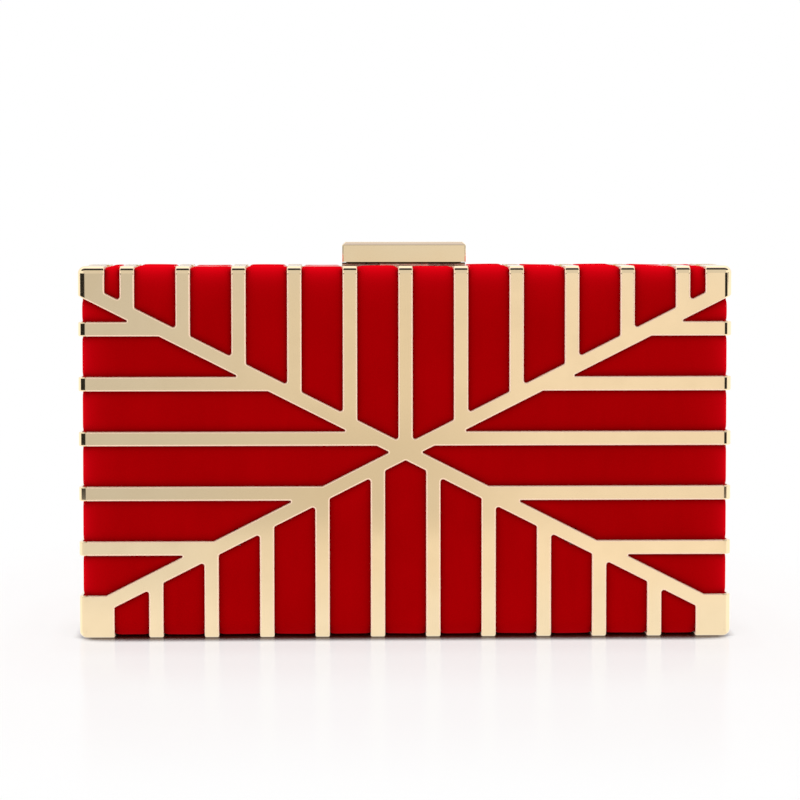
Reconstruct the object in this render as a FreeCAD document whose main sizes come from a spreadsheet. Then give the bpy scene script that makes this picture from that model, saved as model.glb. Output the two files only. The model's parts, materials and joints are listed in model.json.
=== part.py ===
import FreeCAD, Part
import os
import Sketcher

# Hard box clutch in red velvet with an openwork metal cage.
# Millimetres, +Z up, front towards -Y, origin under the middle of the base.
# The two halves meet in the plane Y = 0 and turn about a hinge along the base.

doc = FreeCAD.newDocument("minaudiere")
sheet = doc.addObject("Spreadsheet::Sheet", "d")

DIMENSIONS = (
    # Case
    ("case_width", 200.0),
    ("case_height", 114.0),
    ("half_depth", 23.0),
    ("parting_gap", 0.2),
    ("layer_gap", 0.1),
    ("overrun", 1.0),
    # Cage of straight bars
    ("cage_wall", 1.0),
    ("cage_edge_radius", 2.2),
    ("bar_width", 4.4),
    ("bar_edge_radius", 0.45),
    ("pitch_across_share", 0.085),
    ("pitch_up_share", 0.1474),
    ("diagonal_rise_share", 0.443),
    ("row_shift_share", 0.25),
    ("corner_flange_width", 8.1),
    ("corner_block_width", 10.7),
    ("corner_block_height", 13.1),
    ("opening_radius", 0.8),
    ("opening_tip_radius", 0.3),
    ("boss_radius", 1.8),
    ("boss_clearance", 0.2),
    ("boss_skin", 0.7),
    ("boss_place_share", 0.255),
    # Layers under the cage, from the outside in
    ("velvet_wall", 0.8),
    ("padding_wall", 0.6),
    ("shell_wall", 1.8),
    ("lining_wall", 0.6),
    ("lining_standoff", 1.2),
    ("layer_edge_radius", 1.2),
    # Screws that hold the cage
    ("screw_radius", 0.95),
    ("screw_head_radius", 1.9),
    ("screw_head_height", 0.9),
    ("screw_slot_width", 0.5),
    ("screw_slot_depth", 0.4),
    ("fit_clearance", 0.05),
    # Rim channel round each mouth
    ("rim_inset", 0.3),
    ("rim_lip", 0.7),
    ("rim_web", 2.6),
    ("rim_depth", 5.0),
    ("rim_flange", 1.0),
    ("rim_edge_radius", 1.3),
    # Hinge along the base
    ("hinge_height", 3.0),
    ("hinge_place_share", 0.31),
    ("hinge_relief", 0.2),
    ("knuckle_length", 8.0),
    ("knuckle_gap", 0.2),
    ("knuckle_radius", 1.6),
    ("hinge_pin_radius", 0.8),
    ("swing_clearance", 0.3),
    ("leaf_wall", 0.9),
    ("rivet_radius", 0.6),
    ("rivet_head_radius", 1.1),
    ("rivet_head_height", 0.4),
    ("rivet_depth", 2.5),
    # Clasp on top
    ("clasp_width", 38.4),
    ("clasp_depth", 10.8),
    ("clasp_height", 6.2),
    ("clasp_wall", 1.0),
    ("clasp_bevel", 1.0),
    ("clasp_edge_radius", 0.35),
    ("clasp_gap", 1.3),
    ("pivot_setback", 2.8),
    ("pivot_rise", 1.8),
    ("pivot_radius", 0.6),
    ("ear_radius", 1.1),
    ("base_ear_wall", 1.2),
    ("base_height", 1.9),
    ("base_front", 0.4),
    ("base_tail", 0.6),
    ("base_sill", 1.0),
    ("base_wing_play", 0.3),
    ("bracket_wall", 0.7),
    ("bracket_half_width", 10.5),
    ("bracket_side_play", 0.5),
    ("hook_half_width", 8.0),
    ("latch_play", 0.3),
    ("strike_height", 2.4),
    ("strike_half_width", 7.5),
    ("strike_back", 0.5),
    ("clasp_rivet_spread", 5.0),
    ("clasp_rivet_grip", 0.5),
    ("spring_wire_radius", 0.2),
    ("spring_coil_radius", 0.95),
    ("spring_pitch", 0.55),
    ("spring_leg", 2.0),
    # Chain lugs inside the back half
    ("lug_wall", 1.2),
    ("lug_reach", 8.0),
    ("lug_depth", 8.0),
    ("lug_height", 8.0),
    ("lug_setback", 1.5),
    ("lug_below_top", 18.0),
    ("lug_bore_radius", 1.75),
    ("lug_corner_radius", 2.0),
    ("lug_rivet_radius", 1.0),
    ("lug_rivet_head_radius", 1.8),
    ("lug_rivet_head_height", 0.6),
)
for row, (alias, number) in enumerate(DIMENSIONS, start=1):
    sheet.set(f"A{row}", alias)
    sheet.set(f"B{row}", str(number))
    sheet.setAlias(f"B{row}", alias)
doc.recompute()

# Counts of bars on each side of the middle, and of turns of the spring
TOP_BARS = 5
BASE_BARS = 5
ROWS_ABOVE = 2
ROWS_BELOW = 2
SPRING_TURNS = 4

# Distances of each layer from the outside of the case
VELVET = "(d.cage_wall + d.layer_gap)"
PADDING = f"({VELVET} + d.velvet_wall + d.layer_gap)"
SHELL = f"({PADDING} + d.padding_wall + d.layer_gap)"
LINING = f"({SHELL} + d.shell_wall + d.layer_gap)"
INNER_LIP = f"({LINING} + d.lining_wall + d.layer_gap)"
RIM_BORE = f"({INNER_LIP} + d.rim_lip + d.rim_flange)"
LINING_FLOOR = f"({SHELL} + d.shell_wall + d.lining_standoff)"

# Levels measured towards the front from the plane where the halves meet
RIM_FACE = "(d.parting_gap/2)"
LAYER_MOUTH = "(d.rim_web + d.layer_gap)"
CAGE_MOUTH = "(d.rim_depth + d.layer_gap)"
SHELL_FRONT = f"(d.half_depth - {SHELL})"
SHELL_BACK = f"({SHELL_FRONT} - d.shell_wall)"
CAGE_BACK = "(d.half_depth - d.cage_wall)"

# Cage pattern
MIDDLE = "(d.case_height/2)"
ACROSS = "(d.case_width*d.pitch_across_share)"
UP = "(d.case_height*d.pitch_up_share)"
SLOPE = "(2*d.case_height*d.diagonal_rise_share/d.case_width)"
SLANT = f"sqrt(1 + {SLOPE}^2)"
BOSS_X = "(d.case_width*d.boss_place_share)"
BOSS_RISE = f"({BOSS_X}*{SLOPE})"

# Clasp levels
RIM_TOP = "(d.case_height - d.rim_inset)"
CLASP_BASE = f"({RIM_TOP} + d.clasp_gap)"
CLASP_TOP = f"({CLASP_BASE} + d.clasp_height)"
PIVOT_Z = f"({CLASP_BASE} + d.pivot_rise)"
BRACKET_TOP = f"({CLASP_TOP} - d.clasp_wall - d.layer_gap)"
BRACKET_FRONT = "(d.clasp_depth/2 - d.clasp_wall - 2*d.layer_gap)"
HOOK_BACK = f"({BRACKET_FRONT} - d.bracket_wall)"
STRIKE_FRONT = f"({HOOK_BACK} - d.latch_play)"
BASE_HALF = "(d.bracket_half_width + d.bracket_side_play + d.base_ear_wall)"
RIVET_SEAT = f"({RIM_TOP} - d.rivet_depth)"

# Hinge
LEAF_HALF = "(d.knuckle_length*1.5 + d.knuckle_gap)"
LEAF_FOOT = "(d.hinge_height + d.knuckle_radius + d.swing_clearance)"
LEAF_TOP = f"({RIM_BORE} - d.layer_gap)"
LEAF_BACK = f"({RIM_FACE} + d.leaf_wall)"
HINGE_X = "(d.case_width*d.hinge_place_share)"
LEAF_RIVET_X = "(d.knuckle_length + d.knuckle_gap)"
LEAF_RIVET_Z = f"(({LEAF_FOOT} + {LEAF_TOP})/2)"

# Chain lugs
LINING_FACE = f"(d.case_width/2 - {LINING} - d.lining_wall)"
LUG_OUT = f"({LINING_FACE} - d.layer_gap)"
LUG_FRONT = "(d.rim_depth + d.lug_setback)"
LUG_Z = "(d.case_height - d.lug_below_top)"
LUG_RIVET_Y = f"({LUG_FRONT} + d.lug_depth/2 + d.lug_wall/2)"


def value(expression):
    """Return the number that an expression on the sheet gives."""
    return float(sheet.evalExpression(expression))


def box(name, x, y, z):
    """Add a block that reaches between a pair of expressions along each axis."""
    block = doc.addObject("Part::Box", name)
    for size, axis, (low, high) in (("Length", "x", x), ("Width", "y", y), ("Height", "z", z)):
        block.setExpression(size, f"({high}) - ({low})")
        block.setExpression(f"Placement.Base.{axis}", low)
    return block


def rod(name, axis, radius, ends, centre):
    """Add a round rod along an axis; centre gives the other two coordinates in order."""
    cylinder = doc.addObject("Part::Cylinder", name)
    turns = {
        "x": FreeCAD.Rotation(FreeCAD.Vector(0, 1, 0), 90),
        "y": FreeCAD.Rotation(FreeCAD.Vector(1, 0, 0), -90),
        "z": FreeCAD.Rotation(),
    }
    cylinder.Placement = FreeCAD.Placement(FreeCAD.Vector(), turns[axis])
    cylinder.setExpression("Radius", radius)
    cylinder.setExpression("Height", f"({ends[1]}) - ({ends[0]})")
    others = [letter for letter in "xyz" if letter != axis]
    for letter, expression in zip([axis] + others, [ends[0]] + list(centre)):
        cylinder.setExpression(f"Placement.Base.{letter}", expression)
    return cylinder


def fuse(name, shapes):
    """Join shapes, or keep them together as one piece of several solids."""
    joined = doc.addObject("Part::MultiFuse", name)
    joined.Shapes = shapes
    joined.Refine = True
    return joined


def cut(name, base, tools):
    """Take tools away from a base."""
    result = doc.addObject("Part::Cut", name)
    result.Base = base
    result.Tool = tools[0] if len(tools) == 1 else fuse(name + "_tools", tools)
    return result


def mirrored(name, source, normal):
    """Mirror a piece in a plane through the origin."""
    twin = doc.addObject("Part::Mirroring", name)
    twin.Source = source
    twin.Normal = FreeCAD.Vector(*normal)
    return twin


def sketch_on(body, role, offset):
    """Attach a sketch to a plane of the body's origin, moved along its normal."""
    sketch = body.newObject("Sketcher::SketchObject", body.Label + "_sketch")
    plane = [item for item in body.Origin.OriginFeatures if item.Role == role][0]
    sketch.AttachmentSupport = [(plane, "")]
    sketch.MapMode = "FlatFace"
    sketch.setExpression("AttachmentOffset.Base.z", offset)
    return sketch


def polygon(sketch, corners):
    """Draw a closed outline whose corners are pairs of expressions."""
    first = sketch.GeometryCount
    count = len(corners)
    points = [FreeCAD.Vector(value(across), value(up), 0) for across, up in corners]
    lines = [Part.LineSegment(points[i], points[(i + 1) % count]) for i in range(count)]
    sketch.addGeometry(lines, False)
    for i in range(count):
        following = first + (i + 1) % count
        sketch.addConstraint(Sketcher.Constraint("Coincident", first + i, 2, following, 1))
    for i, (across, up) in enumerate(corners):
        for kind, expression in (("DistanceX", across), ("DistanceY", up)):
            rule = Sketcher.Constraint(kind, -1, 1, first + i, 1, value(expression))
            index = sketch.addConstraint(rule)
            sketch.setExpression(f"Constraints[{index}]", expression)


def rectangle(sketch, across, up):
    """Draw a rectangle between two pairs of expressions."""
    (left, right), (low, high) = across, up
    polygon(sketch, [(left, low), (right, low), (right, high), (left, high)])


def circle(sketch, across, up, radius):
    """Draw a circle whose centre and radius are expressions."""
    centre = FreeCAD.Vector(value(across), value(up), 0)
    upright = FreeCAD.Vector(0, 0, 1)
    item = sketch.addGeometry(Part.Circle(centre, upright, value(radius)), False)
    rules = (
        (Sketcher.Constraint("DistanceX", -1, 1, item, 3, centre.x), across),
        (Sketcher.Constraint("DistanceY", -1, 1, item, 3, centre.y), up),
        (Sketcher.Constraint("Radius", item, value(radius)), radius),
    )
    for rule, expression in rules:
        index = sketch.addConstraint(rule)
        sketch.setExpression(f"Constraints[{index}]", expression)


def feature(body, kind, sketch, length, backwards):
    """Add a pad or pocket of a sketch to a body."""
    item = body.newObject(f"PartDesign::{kind}", f"{body.Label}_{kind.lower()}")
    item.Profile = sketch
    item.Reversed = backwards
    item.setExpression("Length", length)
    return item


def edges_where(shape, test):
    """Name the edges of a shape that pass a test."""
    return [f"Edge{i}" for i, edge in enumerate(shape.Edges, start=1) if test(edge)]


def round_edges(body, base, radius, test):
    """Round the edges of a body's feature that pass a test."""
    doc.recompute()
    rounded = body.newObject("PartDesign::Fillet", body.Label + "_round")
    rounded.Base = (base, edges_where(base.Shape, test))
    rounded.setExpression("Radius", radius)
    return rounded


def boss_places():
    """Give the places of the cage screws on the diagonals as pairs of expressions."""
    places = [("0", MIDDLE)]
    for side in ("", "-"):
        for sign in ("+", "-"):
            places.append((f"{side}{BOSS_X}", f"{MIDDLE} {sign} {BOSS_RISE}"))
    return places


def tray(name, inset, mouth, wall, front, floor, radius):
    """Make a tray open towards the parting plane, with rounded outer edges."""
    body = doc.addObject("PartDesign::Body", name)
    half = f"(d.case_width/2 - {inset})"
    outline = sketch_on(body, "XZ_Plane", mouth)
    rectangle(outline, (f"-{half}", half), (inset, f"d.case_height - {inset}"))
    block = feature(body, "Pad", outline, f"{front} - {mouth}", False)
    back = -value(mouth)
    round_edges(body, block, radius, lambda edge: edge.BoundBox.YMin < back - value(radius))
    inner = f"({inset} + {wall})"
    half = f"(d.case_width/2 - {inner})"
    hollow = sketch_on(body, "XZ_Plane", f"{mouth} - d.overrun")
    rectangle(hollow, (f"-{half}", half), (inner, f"d.case_height - {inner}"))
    feature(body, "Pocket", hollow, f"{front} - {floor} - {mouth} + d.overrun", True)
    return body


def pierced(body, radius):
    """Open the holes for the cage bosses or screws in the front of a tray."""
    holes = sketch_on(body, "XZ_Plane", f"{SHELL_BACK} - d.lining_standoff/2")
    for across, up in boss_places():
        circle(holes, across, up, radius)
    feature(body, "Pocket", holes, "d.half_depth", True)
    return body


def lattice():
    """Join straight bars, two diagonals and corner pieces, each as deep as the cage."""
    depth = ("-(d.half_depth + d.overrun)", f"-{CAGE_MOUTH}")
    side = "(d.case_width/2 + d.overrun)"
    top = "(d.case_height + d.overrun)"
    half = "d.bar_width/2"
    bars = []
    for step in range(-TOP_BARS, TOP_BARS + 1):
        centre = f"{step}*{ACROSS}"
        foot = f"{MIDDLE} + {abs(step)}*{ACROSS}*{SLOPE}"
        across = (f"{centre} - {half}", f"{centre} + {half}")
        bars.append(box(f"top_bar_{step + TOP_BARS}", across, depth, (foot, top)))
    for step in range(-BASE_BARS, BASE_BARS):
        shift = step + 0.5
        centre = f"{shift}*{ACROSS}"
        head = f"{MIDDLE} - {abs(shift)}*{ACROSS}*{SLOPE}"
        across = (f"{centre} - {half}", f"{centre} + {half}")
        bars.append(box(f"base_bar_{step + BASE_BARS}", across, depth, ("-d.overrun", head)))
    for step in range(-ROWS_BELOW, ROWS_ABOVE + 1):
        rise = f"({step} + d.row_shift_share)*{UP}"
        level = (f"{MIDDLE} + {rise} - {half}", f"{MIDDLE} + {rise} + {half}")
        inner = f"abs({rise})/{SLOPE}"
        bars.append(box(f"left_bar_{step + ROWS_BELOW}", (f"-{side}", f"-({inner})"), depth, level))
        bars.append(box(f"right_bar_{step + ROWS_BELOW}", (inner, side), depth, level))
    flange_foot = f"{MIDDLE} + (d.case_width/2 - d.corner_flange_width/2)*{SLOPE}"
    flange_in = "(d.case_width/2 - d.corner_flange_width)"
    block_in = "(d.case_width/2 - d.corner_block_width)"
    block = ("-d.overrun", "d.corner_block_height")
    for label, flange, foot in (
        ("left", (f"-{side}", f"-{flange_in}"), (f"-{side}", f"-{block_in}")),
        ("right", (flange_in, side), (block_in, side)),
    ):
        bars.append(box(f"{label}_flange", flange, depth, (flange_foot, top)))
        bars.append(box(f"{label}_block", foot, depth, block))
    for label, turn in (("falling", 1), ("rising", -1)):
        length = f"((d.case_width + 2*d.overrun)*{SLANT})"
        arm = box(f"{label}_diagonal", (f"-{length}/2", f"{length}/2"), depth, ("0", "d.bar_width"))
        arm.Placement.Rotation = FreeCAD.Rotation(FreeCAD.Vector(0, turn, 0), 1)
        arm.setExpression("Placement.Rotation.Angle", f"atan({SLOPE})")
        lean = f"{turn}*{half}*{SLOPE}/{SLANT}"
        drop = f"{turn}*{length}/2*{SLOPE}/{SLANT}"
        arm.setExpression("Placement.Base.x", f"-{length}/2/{SLANT} - {lean}")
        arm.setExpression("Placement.Base.z", f"{MIDDLE} + {drop} - {half}/{SLANT}")
        bars.append(arm)
    return fuse("lattice", bars)


def soften_openings(name, source):
    """Round the corners of the openings, less in the sharp tips."""
    doc.recompute()
    shape = source.Shape
    front = -value("d.half_depth")
    back = -value(CAGE_BACK)
    slack = value("d.fit_clearance")
    sharp = FreeCAD.Rotation(FreeCAD.Vector(0, 1, 0), 60)
    limit = sharp.multVec(FreeCAD.Vector(1, 0, 0)).x
    rounded = doc.addObject("Part::Fillet", name)
    rounded.Base = source
    choices = []
    for index, edge in enumerate(shape.Edges, start=1):
        reach = edge.BoundBox
        if abs(reach.YMin - front) > slack or abs(reach.YMax - back) > slack:
            continue
        if reach.XLength > slack or reach.ZLength > slack:
            continue
        place = edge.valueAt(edge.FirstParameter)
        walls = [face.normalAt(0, 0) for face in shape.ancestorsOfType(edge, Part.Face)]
        tip = -walls[0].dot(walls[1]) > limit
        radius = value("d.opening_tip_radius" if tip else "d.opening_radius")
        inside = abs(place.x) < value("d.case_width/2 - d.cage_edge_radius")
        if inside:
            choices.append((index, radius, radius))
    rounded.Edges = choices
    return rounded


def round_bars(name, source):
    """Round the long outer edges of the bars all round their openings."""
    doc.recompute()
    shape = source.Shape
    slack = value("d.fit_clearance")
    block = [item for item in cage_block.Group if item.isDerivedFrom("PartDesign::Fillet")][0]
    outside = block.Shape.Shells[0]

    def on_skin(face):
        """Tell whether a face lies on the outside of the cage."""
        spots = [face.CenterOfMass] + [vertex.Point for vertex in face.Vertexes]
        return all(outside.distToShape(Part.Vertex(spot))[0] < slack for spot in spots)

    skin = {face.hashCode() for face in shape.Faces if on_skin(face)}
    mouth = -value(CAGE_MOUTH)
    size = value("d.bar_edge_radius")
    choices = []
    for index, edge in enumerate(shape.Edges, start=1):
        faces = shape.ancestorsOfType(edge, Part.Face)
        if sum(face.hashCode() in skin for face in faces) != 1:
            continue
        if edge.BoundBox.YMin > mouth - slack:
            continue
        choices.append((index, size, size))
    rounded = doc.addObject("Part::Fillet", name)
    rounded.Base = source
    rounded.Edges = choices
    return rounded


def cage_screws(name):
    """Make the slotted screws that hold the front cage from inside the shell."""
    tip = f"-(d.half_depth - d.boss_skin/2 - {VELVET}/2)"
    seat = f"-{SHELL_BACK}"
    screws = []
    for index, (across, up) in enumerate(boss_places()):
        place = (across, up)
        head_end = f"{seat} + d.screw_head_height"
        shank = rod(f"{name}_shank_{index}", "y", "d.screw_radius", (tip, seat), place)
        head = rod(f"{name}_head_{index}", "y", "d.screw_head_radius", (seat, head_end), place)
        half = "d.screw_slot_width/2"
        slot = box(
            f"{name}_slot_{index}",
            (f"{across} - d.screw_head_radius*2", f"{across} + d.screw_head_radius*2"),
            (f"{head_end} - d.screw_slot_depth", f"{head_end} + d.overrun"),
            (f"{up} - {half}", f"{up} + {half}"),
        )
        screws.append(cut(f"{name}_{index}", fuse(f"{name}_blank_{index}", [shank, head]), [slot]))
    return fuse(name, screws)


def rivets(name, axis, radius, ends, head, places):
    """Make a row of rivets; head gives the end of the round head, or nothing for flush ones."""
    pins = []
    for index, place in enumerate(places):
        pin = rod(f"{name}_pin_{index}", axis, radius, ends, place)
        if head:
            cap = rod(f"{name}_cap_{index}", axis, head[0], head[1], place)
            pin = fuse(f"{name}_{index}", [pin, cap])
        pins.append(pin)
    return fuse(name, pins)


def rim():
    """Make the channel frame of the front mouth with its hinge seats."""
    body = doc.addObject("PartDesign::Body", "rim_blank")
    rings = (
        ("Pad", RIM_FACE, "d.rim_inset", f"d.rim_depth - {RIM_FACE}"),
        ("Pocket", f"{RIM_FACE} - d.overrun", RIM_BORE, "d.half_depth"),
    )
    for kind, level, inset, length in rings:
        half = f"(d.case_width/2 - {inset})"
        outline = sketch_on(body, "XZ_Plane", level)
        rectangle(outline, (f"-{half}", half), (inset, f"d.case_height - {inset}"))
        last = feature(body, kind, outline, length, kind == "Pocket")
        if kind == "Pad":
            upright = value("d.case_height/2")
            round_edges(
                body, last, "d.rim_edge_radius",
                lambda edge: edge.BoundBox.YLength > value("d.rim_web") and edge.BoundBox.ZMin > upright,
            )
    channel = sketch_on(body, "XZ_Plane", "d.rim_web")
    for inset in ("(d.rim_inset + d.rim_lip)", INNER_LIP):
        half = f"(d.case_width/2 - {inset})"
        rectangle(channel, (f"-{half}", half), (inset, f"d.case_height - {inset}"))
    feature(body, "Pocket", channel, "d.half_depth", True)
    slope = sketch_on(body, "YZ_Plane", "-d.case_width")
    edge = "-d.hinge_relief"
    polygon(slope, [
        (edge, "d.hinge_height"),
        (f"{edge} - d.hinge_height - d.overrun", "-d.overrun"),
        ("d.overrun", "-d.overrun"),
        ("d.overrun", "d.hinge_height"),
    ])
    feature(body, "Pocket", slope, "2*d.case_width", True)
    seats = []
    for label, side in (("left", "-"), ("right", "")):
        middle = f"{side}{HINGE_X}"
        half = f"({LEAF_HALF} + d.swing_clearance)"
        reach = (f"{middle} - {half}", f"{middle} + {half}")
        bore = "d.knuckle_radius + d.swing_clearance"
        seats.append(rod(f"{label}_knuckle_seat", "x", bore, reach, ("0", "d.hinge_height")))
        half = f"({LEAF_HALF} + d.layer_gap)"
        reach = (f"{middle} - {half}", f"{middle} + {half}")
        back = (f"-({LEAF_BACK} + d.layer_gap)", "d.overrun")
        tall = ("d.hinge_height", f"{RIM_BORE} + d.overrun")
        seats.append(box(f"{label}_leaf_seat", reach, back, tall))
        for sign in ("-", "+"):
            place = (f"{middle} {sign} {LEAF_RIVET_X}", LEAF_RIVET_Z)
            hole = "d.rivet_radius + d.fit_clearance/2"
            ends = (f"-({RIM_FACE} + d.rivet_depth)", "d.overrun")
            seats.append(rod(f"{label}_rivet_seat", "y", hole, ends, place))
    return cut("rim_seated", body, seats)


def leaf(name, knuckles, side, facing):
    """Make a hinge leaf; facing is - for the front half and + for the back half."""
    middle = f"{side}{HINGE_X}"
    near, far = f"{facing}{RIM_FACE}", f"{facing}{LEAF_BACK}"
    depth = (far, near) if facing == "-" else (near, far)
    solids = [
        box(name + "_plate", (f"{middle} - {LEAF_HALF}", f"{middle} + {LEAF_HALF}"), depth,
            (LEAF_FOOT, LEAF_TOP))
    ]
    holes = [
        rod(name + "_bore", "x", "d.hinge_pin_radius + d.fit_clearance",
            (f"{middle} - 2*{LEAF_HALF}", f"{middle} + 2*{LEAF_HALF}"), ("0", "d.hinge_height"))
    ]
    for low, high in knuckles:
        reach = (f"{middle} + ({low})", f"{middle} + ({high})")
        solids.append(box(name + "_tab", reach, depth, ("d.hinge_height", LEAF_TOP)))
        solids.append(rod(name + "_tube", "x", "d.knuckle_radius", reach, ("0", "d.hinge_height")))
    for sign in ("-", "+"):
        place = (f"{middle} {sign} {LEAF_RIVET_X}", LEAF_RIVET_Z)
        holes.append(rod(name + "_hole", "y", "d.rivet_radius + d.fit_clearance/2",
                         ("-d.half_depth", "d.half_depth"), place))
    return cut(name, fuse(name + "_blank", solids), holes)


def clasp_bar():
    """Make the hollow bar with bevelled top edges and blind rivet holes."""
    body = doc.addObject("PartDesign::Body", "clasp_bar")
    half_x, half_y = "(d.clasp_width/2)", "(d.clasp_depth/2)"
    outline = sketch_on(body, "XY_Plane", CLASP_BASE)
    rectangle(outline, (f"-{half_x}", half_x), (f"-{half_y}", half_y))
    block = feature(body, "Pad", outline, "d.clasp_height", False)
    doc.recompute()
    top = value(CLASP_TOP) - value("d.clasp_bevel")
    bevel = body.newObject("PartDesign::Chamfer", "clasp_bar_bevel")
    bevel.Base = (block, edges_where(block.Shape, lambda edge: edge.BoundBox.ZMin > top))
    bevel.setExpression("Size", "d.clasp_bevel")
    low = value(f"{CLASP_BASE} + d.clasp_edge_radius")
    round_edges(body, bevel, "d.clasp_edge_radius", lambda edge: edge.BoundBox.ZMax > low)
    half_x, half_y = "(d.clasp_width/2 - d.clasp_wall)", "(d.clasp_depth/2 - d.clasp_wall)"
    hollow = sketch_on(body, "XY_Plane", f"{CLASP_BASE} - d.overrun")
    rectangle(hollow, (f"-{half_x}", half_x), (f"-{half_y}", half_y))
    feature(body, "Pocket", hollow, "d.clasp_height - d.clasp_wall + d.overrun", True)
    holes = sketch_on(body, "XY_Plane", CLASP_BASE)
    for side in ("-", ""):
        circle(holes, f"{side}d.clasp_rivet_spread", "0", "d.rivet_radius + d.fit_clearance/2")
    depth = "d.clasp_height - d.clasp_wall + d.clasp_rivet_grip + d.fit_clearance"
    feature(body, "Pocket", holes, depth, True)
    return body


def clasp_hook():
    """Make the bracket with a hook in front and two ears on the pivot."""
    low = f"({BRACKET_TOP} - d.bracket_wall)"
    half = "d.bracket_half_width"
    back = "(d.pivot_setback + d.ear_radius)"
    front = f"-{BRACKET_FRONT}"
    solids = [
        box("hook_web", (f"-{half}", half), (front, back), (low, BRACKET_TOP)),
        box("hook_leg", ("-d.hook_half_width", "d.hook_half_width"), (front, f"-{HOOK_BACK}"),
            (CLASP_BASE, BRACKET_TOP)),
    ]
    for ends in ((f"-{half}", f"-{half} + d.bracket_wall"), (f"{half} - d.bracket_wall", half)):
        depth = ("d.pivot_setback - d.ear_radius", back)
        solids.append(box("hook_ear", ends, depth, (PIVOT_Z, BRACKET_TOP)))
        solids.append(rod("hook_ear_round", "x", "d.ear_radius", ends, ("d.pivot_setback", PIVOT_Z)))
    holes = [rod("hook_bore", "x", "d.pivot_radius + d.fit_clearance", (f"-2*{half}", f"2*{half}"),
                 ("d.pivot_setback", PIVOT_Z))]
    for side in ("-", ""):
        holes.append(rod("hook_rivet_hole", "z", "d.rivet_radius + d.fit_clearance/2",
                         (f"{low} - d.overrun", f"{BRACKET_TOP} + d.overrun"),
                         (f"{side}d.clasp_rivet_spread", "0")))
    return cut("clasp_hook", fuse("hook_blank", solids), holes)


def clasp_base():
    """Make the block on the back rim, with a sill as wide as the bar and two ears for the pivot."""
    tail = "(d.pivot_setback + d.base_tail)"
    depth = ("d.base_front", tail)
    wing = "(d.clasp_width/2 - d.clasp_wall - d.base_wing_play)"
    sill = "(d.clasp_width/2)"
    solids = [
        box("base_sill", (f"-{sill}", sill), ("d.base_front", "d.pivot_setback"),
            (RIM_TOP, f"{RIM_TOP} + d.base_sill")),
        box("base_block", (f"-{wing}", wing), depth, (RIM_TOP, f"{RIM_TOP} + d.base_height")),
    ]
    for ends in ((f"-{BASE_HALF}", f"-{BASE_HALF} + d.base_ear_wall"),
                 (f"{BASE_HALF} - d.base_ear_wall", BASE_HALF)):
        solids.append(box("base_ear", ends, ("d.pivot_setback - d.ear_radius", tail), (RIM_TOP, PIVOT_Z)))
        solids.append(rod("base_ear_round", "x", "d.ear_radius", ends, ("d.pivot_setback", PIVOT_Z)))
    holes = [rod("base_bore", "x", "d.pivot_radius + d.fit_clearance", (f"-2*{BASE_HALF}", f"2*{BASE_HALF}"),
                 ("d.pivot_setback", PIVOT_Z))]
    for place in base_rivet_places:
        holes.append(rod("base_rivet_hole", "z", "d.rivet_radius + d.fit_clearance/2",
                         (f"{RIM_TOP} - d.overrun", CLASP_TOP), place))
    return cut("clasp_base", fuse("base_blank", solids), holes)


def clasp_strike():
    """Make the low angle on the front rim that the hook holds."""
    half = "d.strike_half_width"
    front = f"-{STRIKE_FRONT}"
    foot = box("strike_foot", (f"-{half}", half), (front, "-d.strike_back"),
               (RIM_TOP, f"{RIM_TOP} + d.bracket_wall"))
    wall = box("strike_wall", (f"-{half}", half), (front, f"{front} + d.bracket_wall"),
               (RIM_TOP, f"{RIM_TOP} + d.strike_height"))
    holes = [rod("strike_rivet_hole", "z", "d.rivet_radius + d.fit_clearance/2",
                 (f"{RIM_TOP} - d.overrun", CLASP_TOP), place) for place in strike_rivet_places]
    return cut("clasp_strike", fuse("strike_blank", [foot, wall]), holes)


def two_arcs(start, heading, end, arrival):
    """Join two points along given directions by two arcs with one common tangent."""
    span = end - start
    both = heading + arrival
    curve = 2*(heading.dot(arrival) - 1)
    middle = -2*span.dot(both)
    root = (middle*middle - 4*curve*span.dot(span))**0.5
    reach = (-middle - root)/(2*curve)
    corners = (start + heading*reach, end - arrival*reach)
    join = (corners[0] + corners[1])*0.5
    arcs = []
    for first, corner, last in ((start, corners[0], join), (join, corners[1], end)):
        chord = (first + last)*0.5
        half = (last - first).Length/2
        rise = corner - chord
        lean = rise.Length/half
        sagitta = half*lean/(1 + (1 + lean*lean)**0.5)
        arcs.append(Part.Arc(first, chord + rise.normalize()*sagitta, last).toShape())
    return arcs


def clasp_spring():
    """Wind the torsion spring on the pivot, one leg under the bracket and one on the base."""
    radius = value("d.spring_coil_radius")
    pitch = value("d.spring_pitch")
    pivot = FreeCAD.Vector(0, value("d.pivot_setback"), value(PIVOT_Z))
    quarters = 4*SPRING_TURNS + 1
    begin = -pitch*quarters/8
    around = ((1, 0), (0, -1), (-1, 0), (0, 1))
    points = []
    headings = []
    arc_length = radius*FreeCAD.Units.Quantity("90 deg").getValueAs("rad").Value
    for step in range(quarters + 1):
        along, up = around[step % 4]
        points.append(pivot + FreeCAD.Vector(begin + pitch*step/4, along*radius, up*radius))
        forward, climb = around[(step + 1) % 4]
        heading = FreeCAD.Vector(pitch/4, forward*arc_length, climb*arc_length)
        headings.append(heading.normalize())
    edges = []
    for step in range(quarters):
        edges += two_arcs(points[step], headings[step], points[step + 1], headings[step + 1])
    under = value(f"{BRACKET_TOP} - d.bracket_wall - d.fit_clearance")
    top = points[0] - headings[0]*((under - points[0].z)/abs(headings[0].z))
    foot = points[-1] + headings[-1]*value("d.spring_leg")
    edges = [Part.LineSegment(top, points[0]).toShape()] + edges
    edges.append(Part.LineSegment(points[-1], foot).toShape())
    profile = Part.Wire(Part.Circle(top, headings[0], value("d.spring_wire_radius")).toShape())
    spring = doc.addObject("Part::Feature", "clasp_spring")
    spring.Shape = Part.Wire(edges).makePipeShell([profile], True, False)
    return spring


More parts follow.
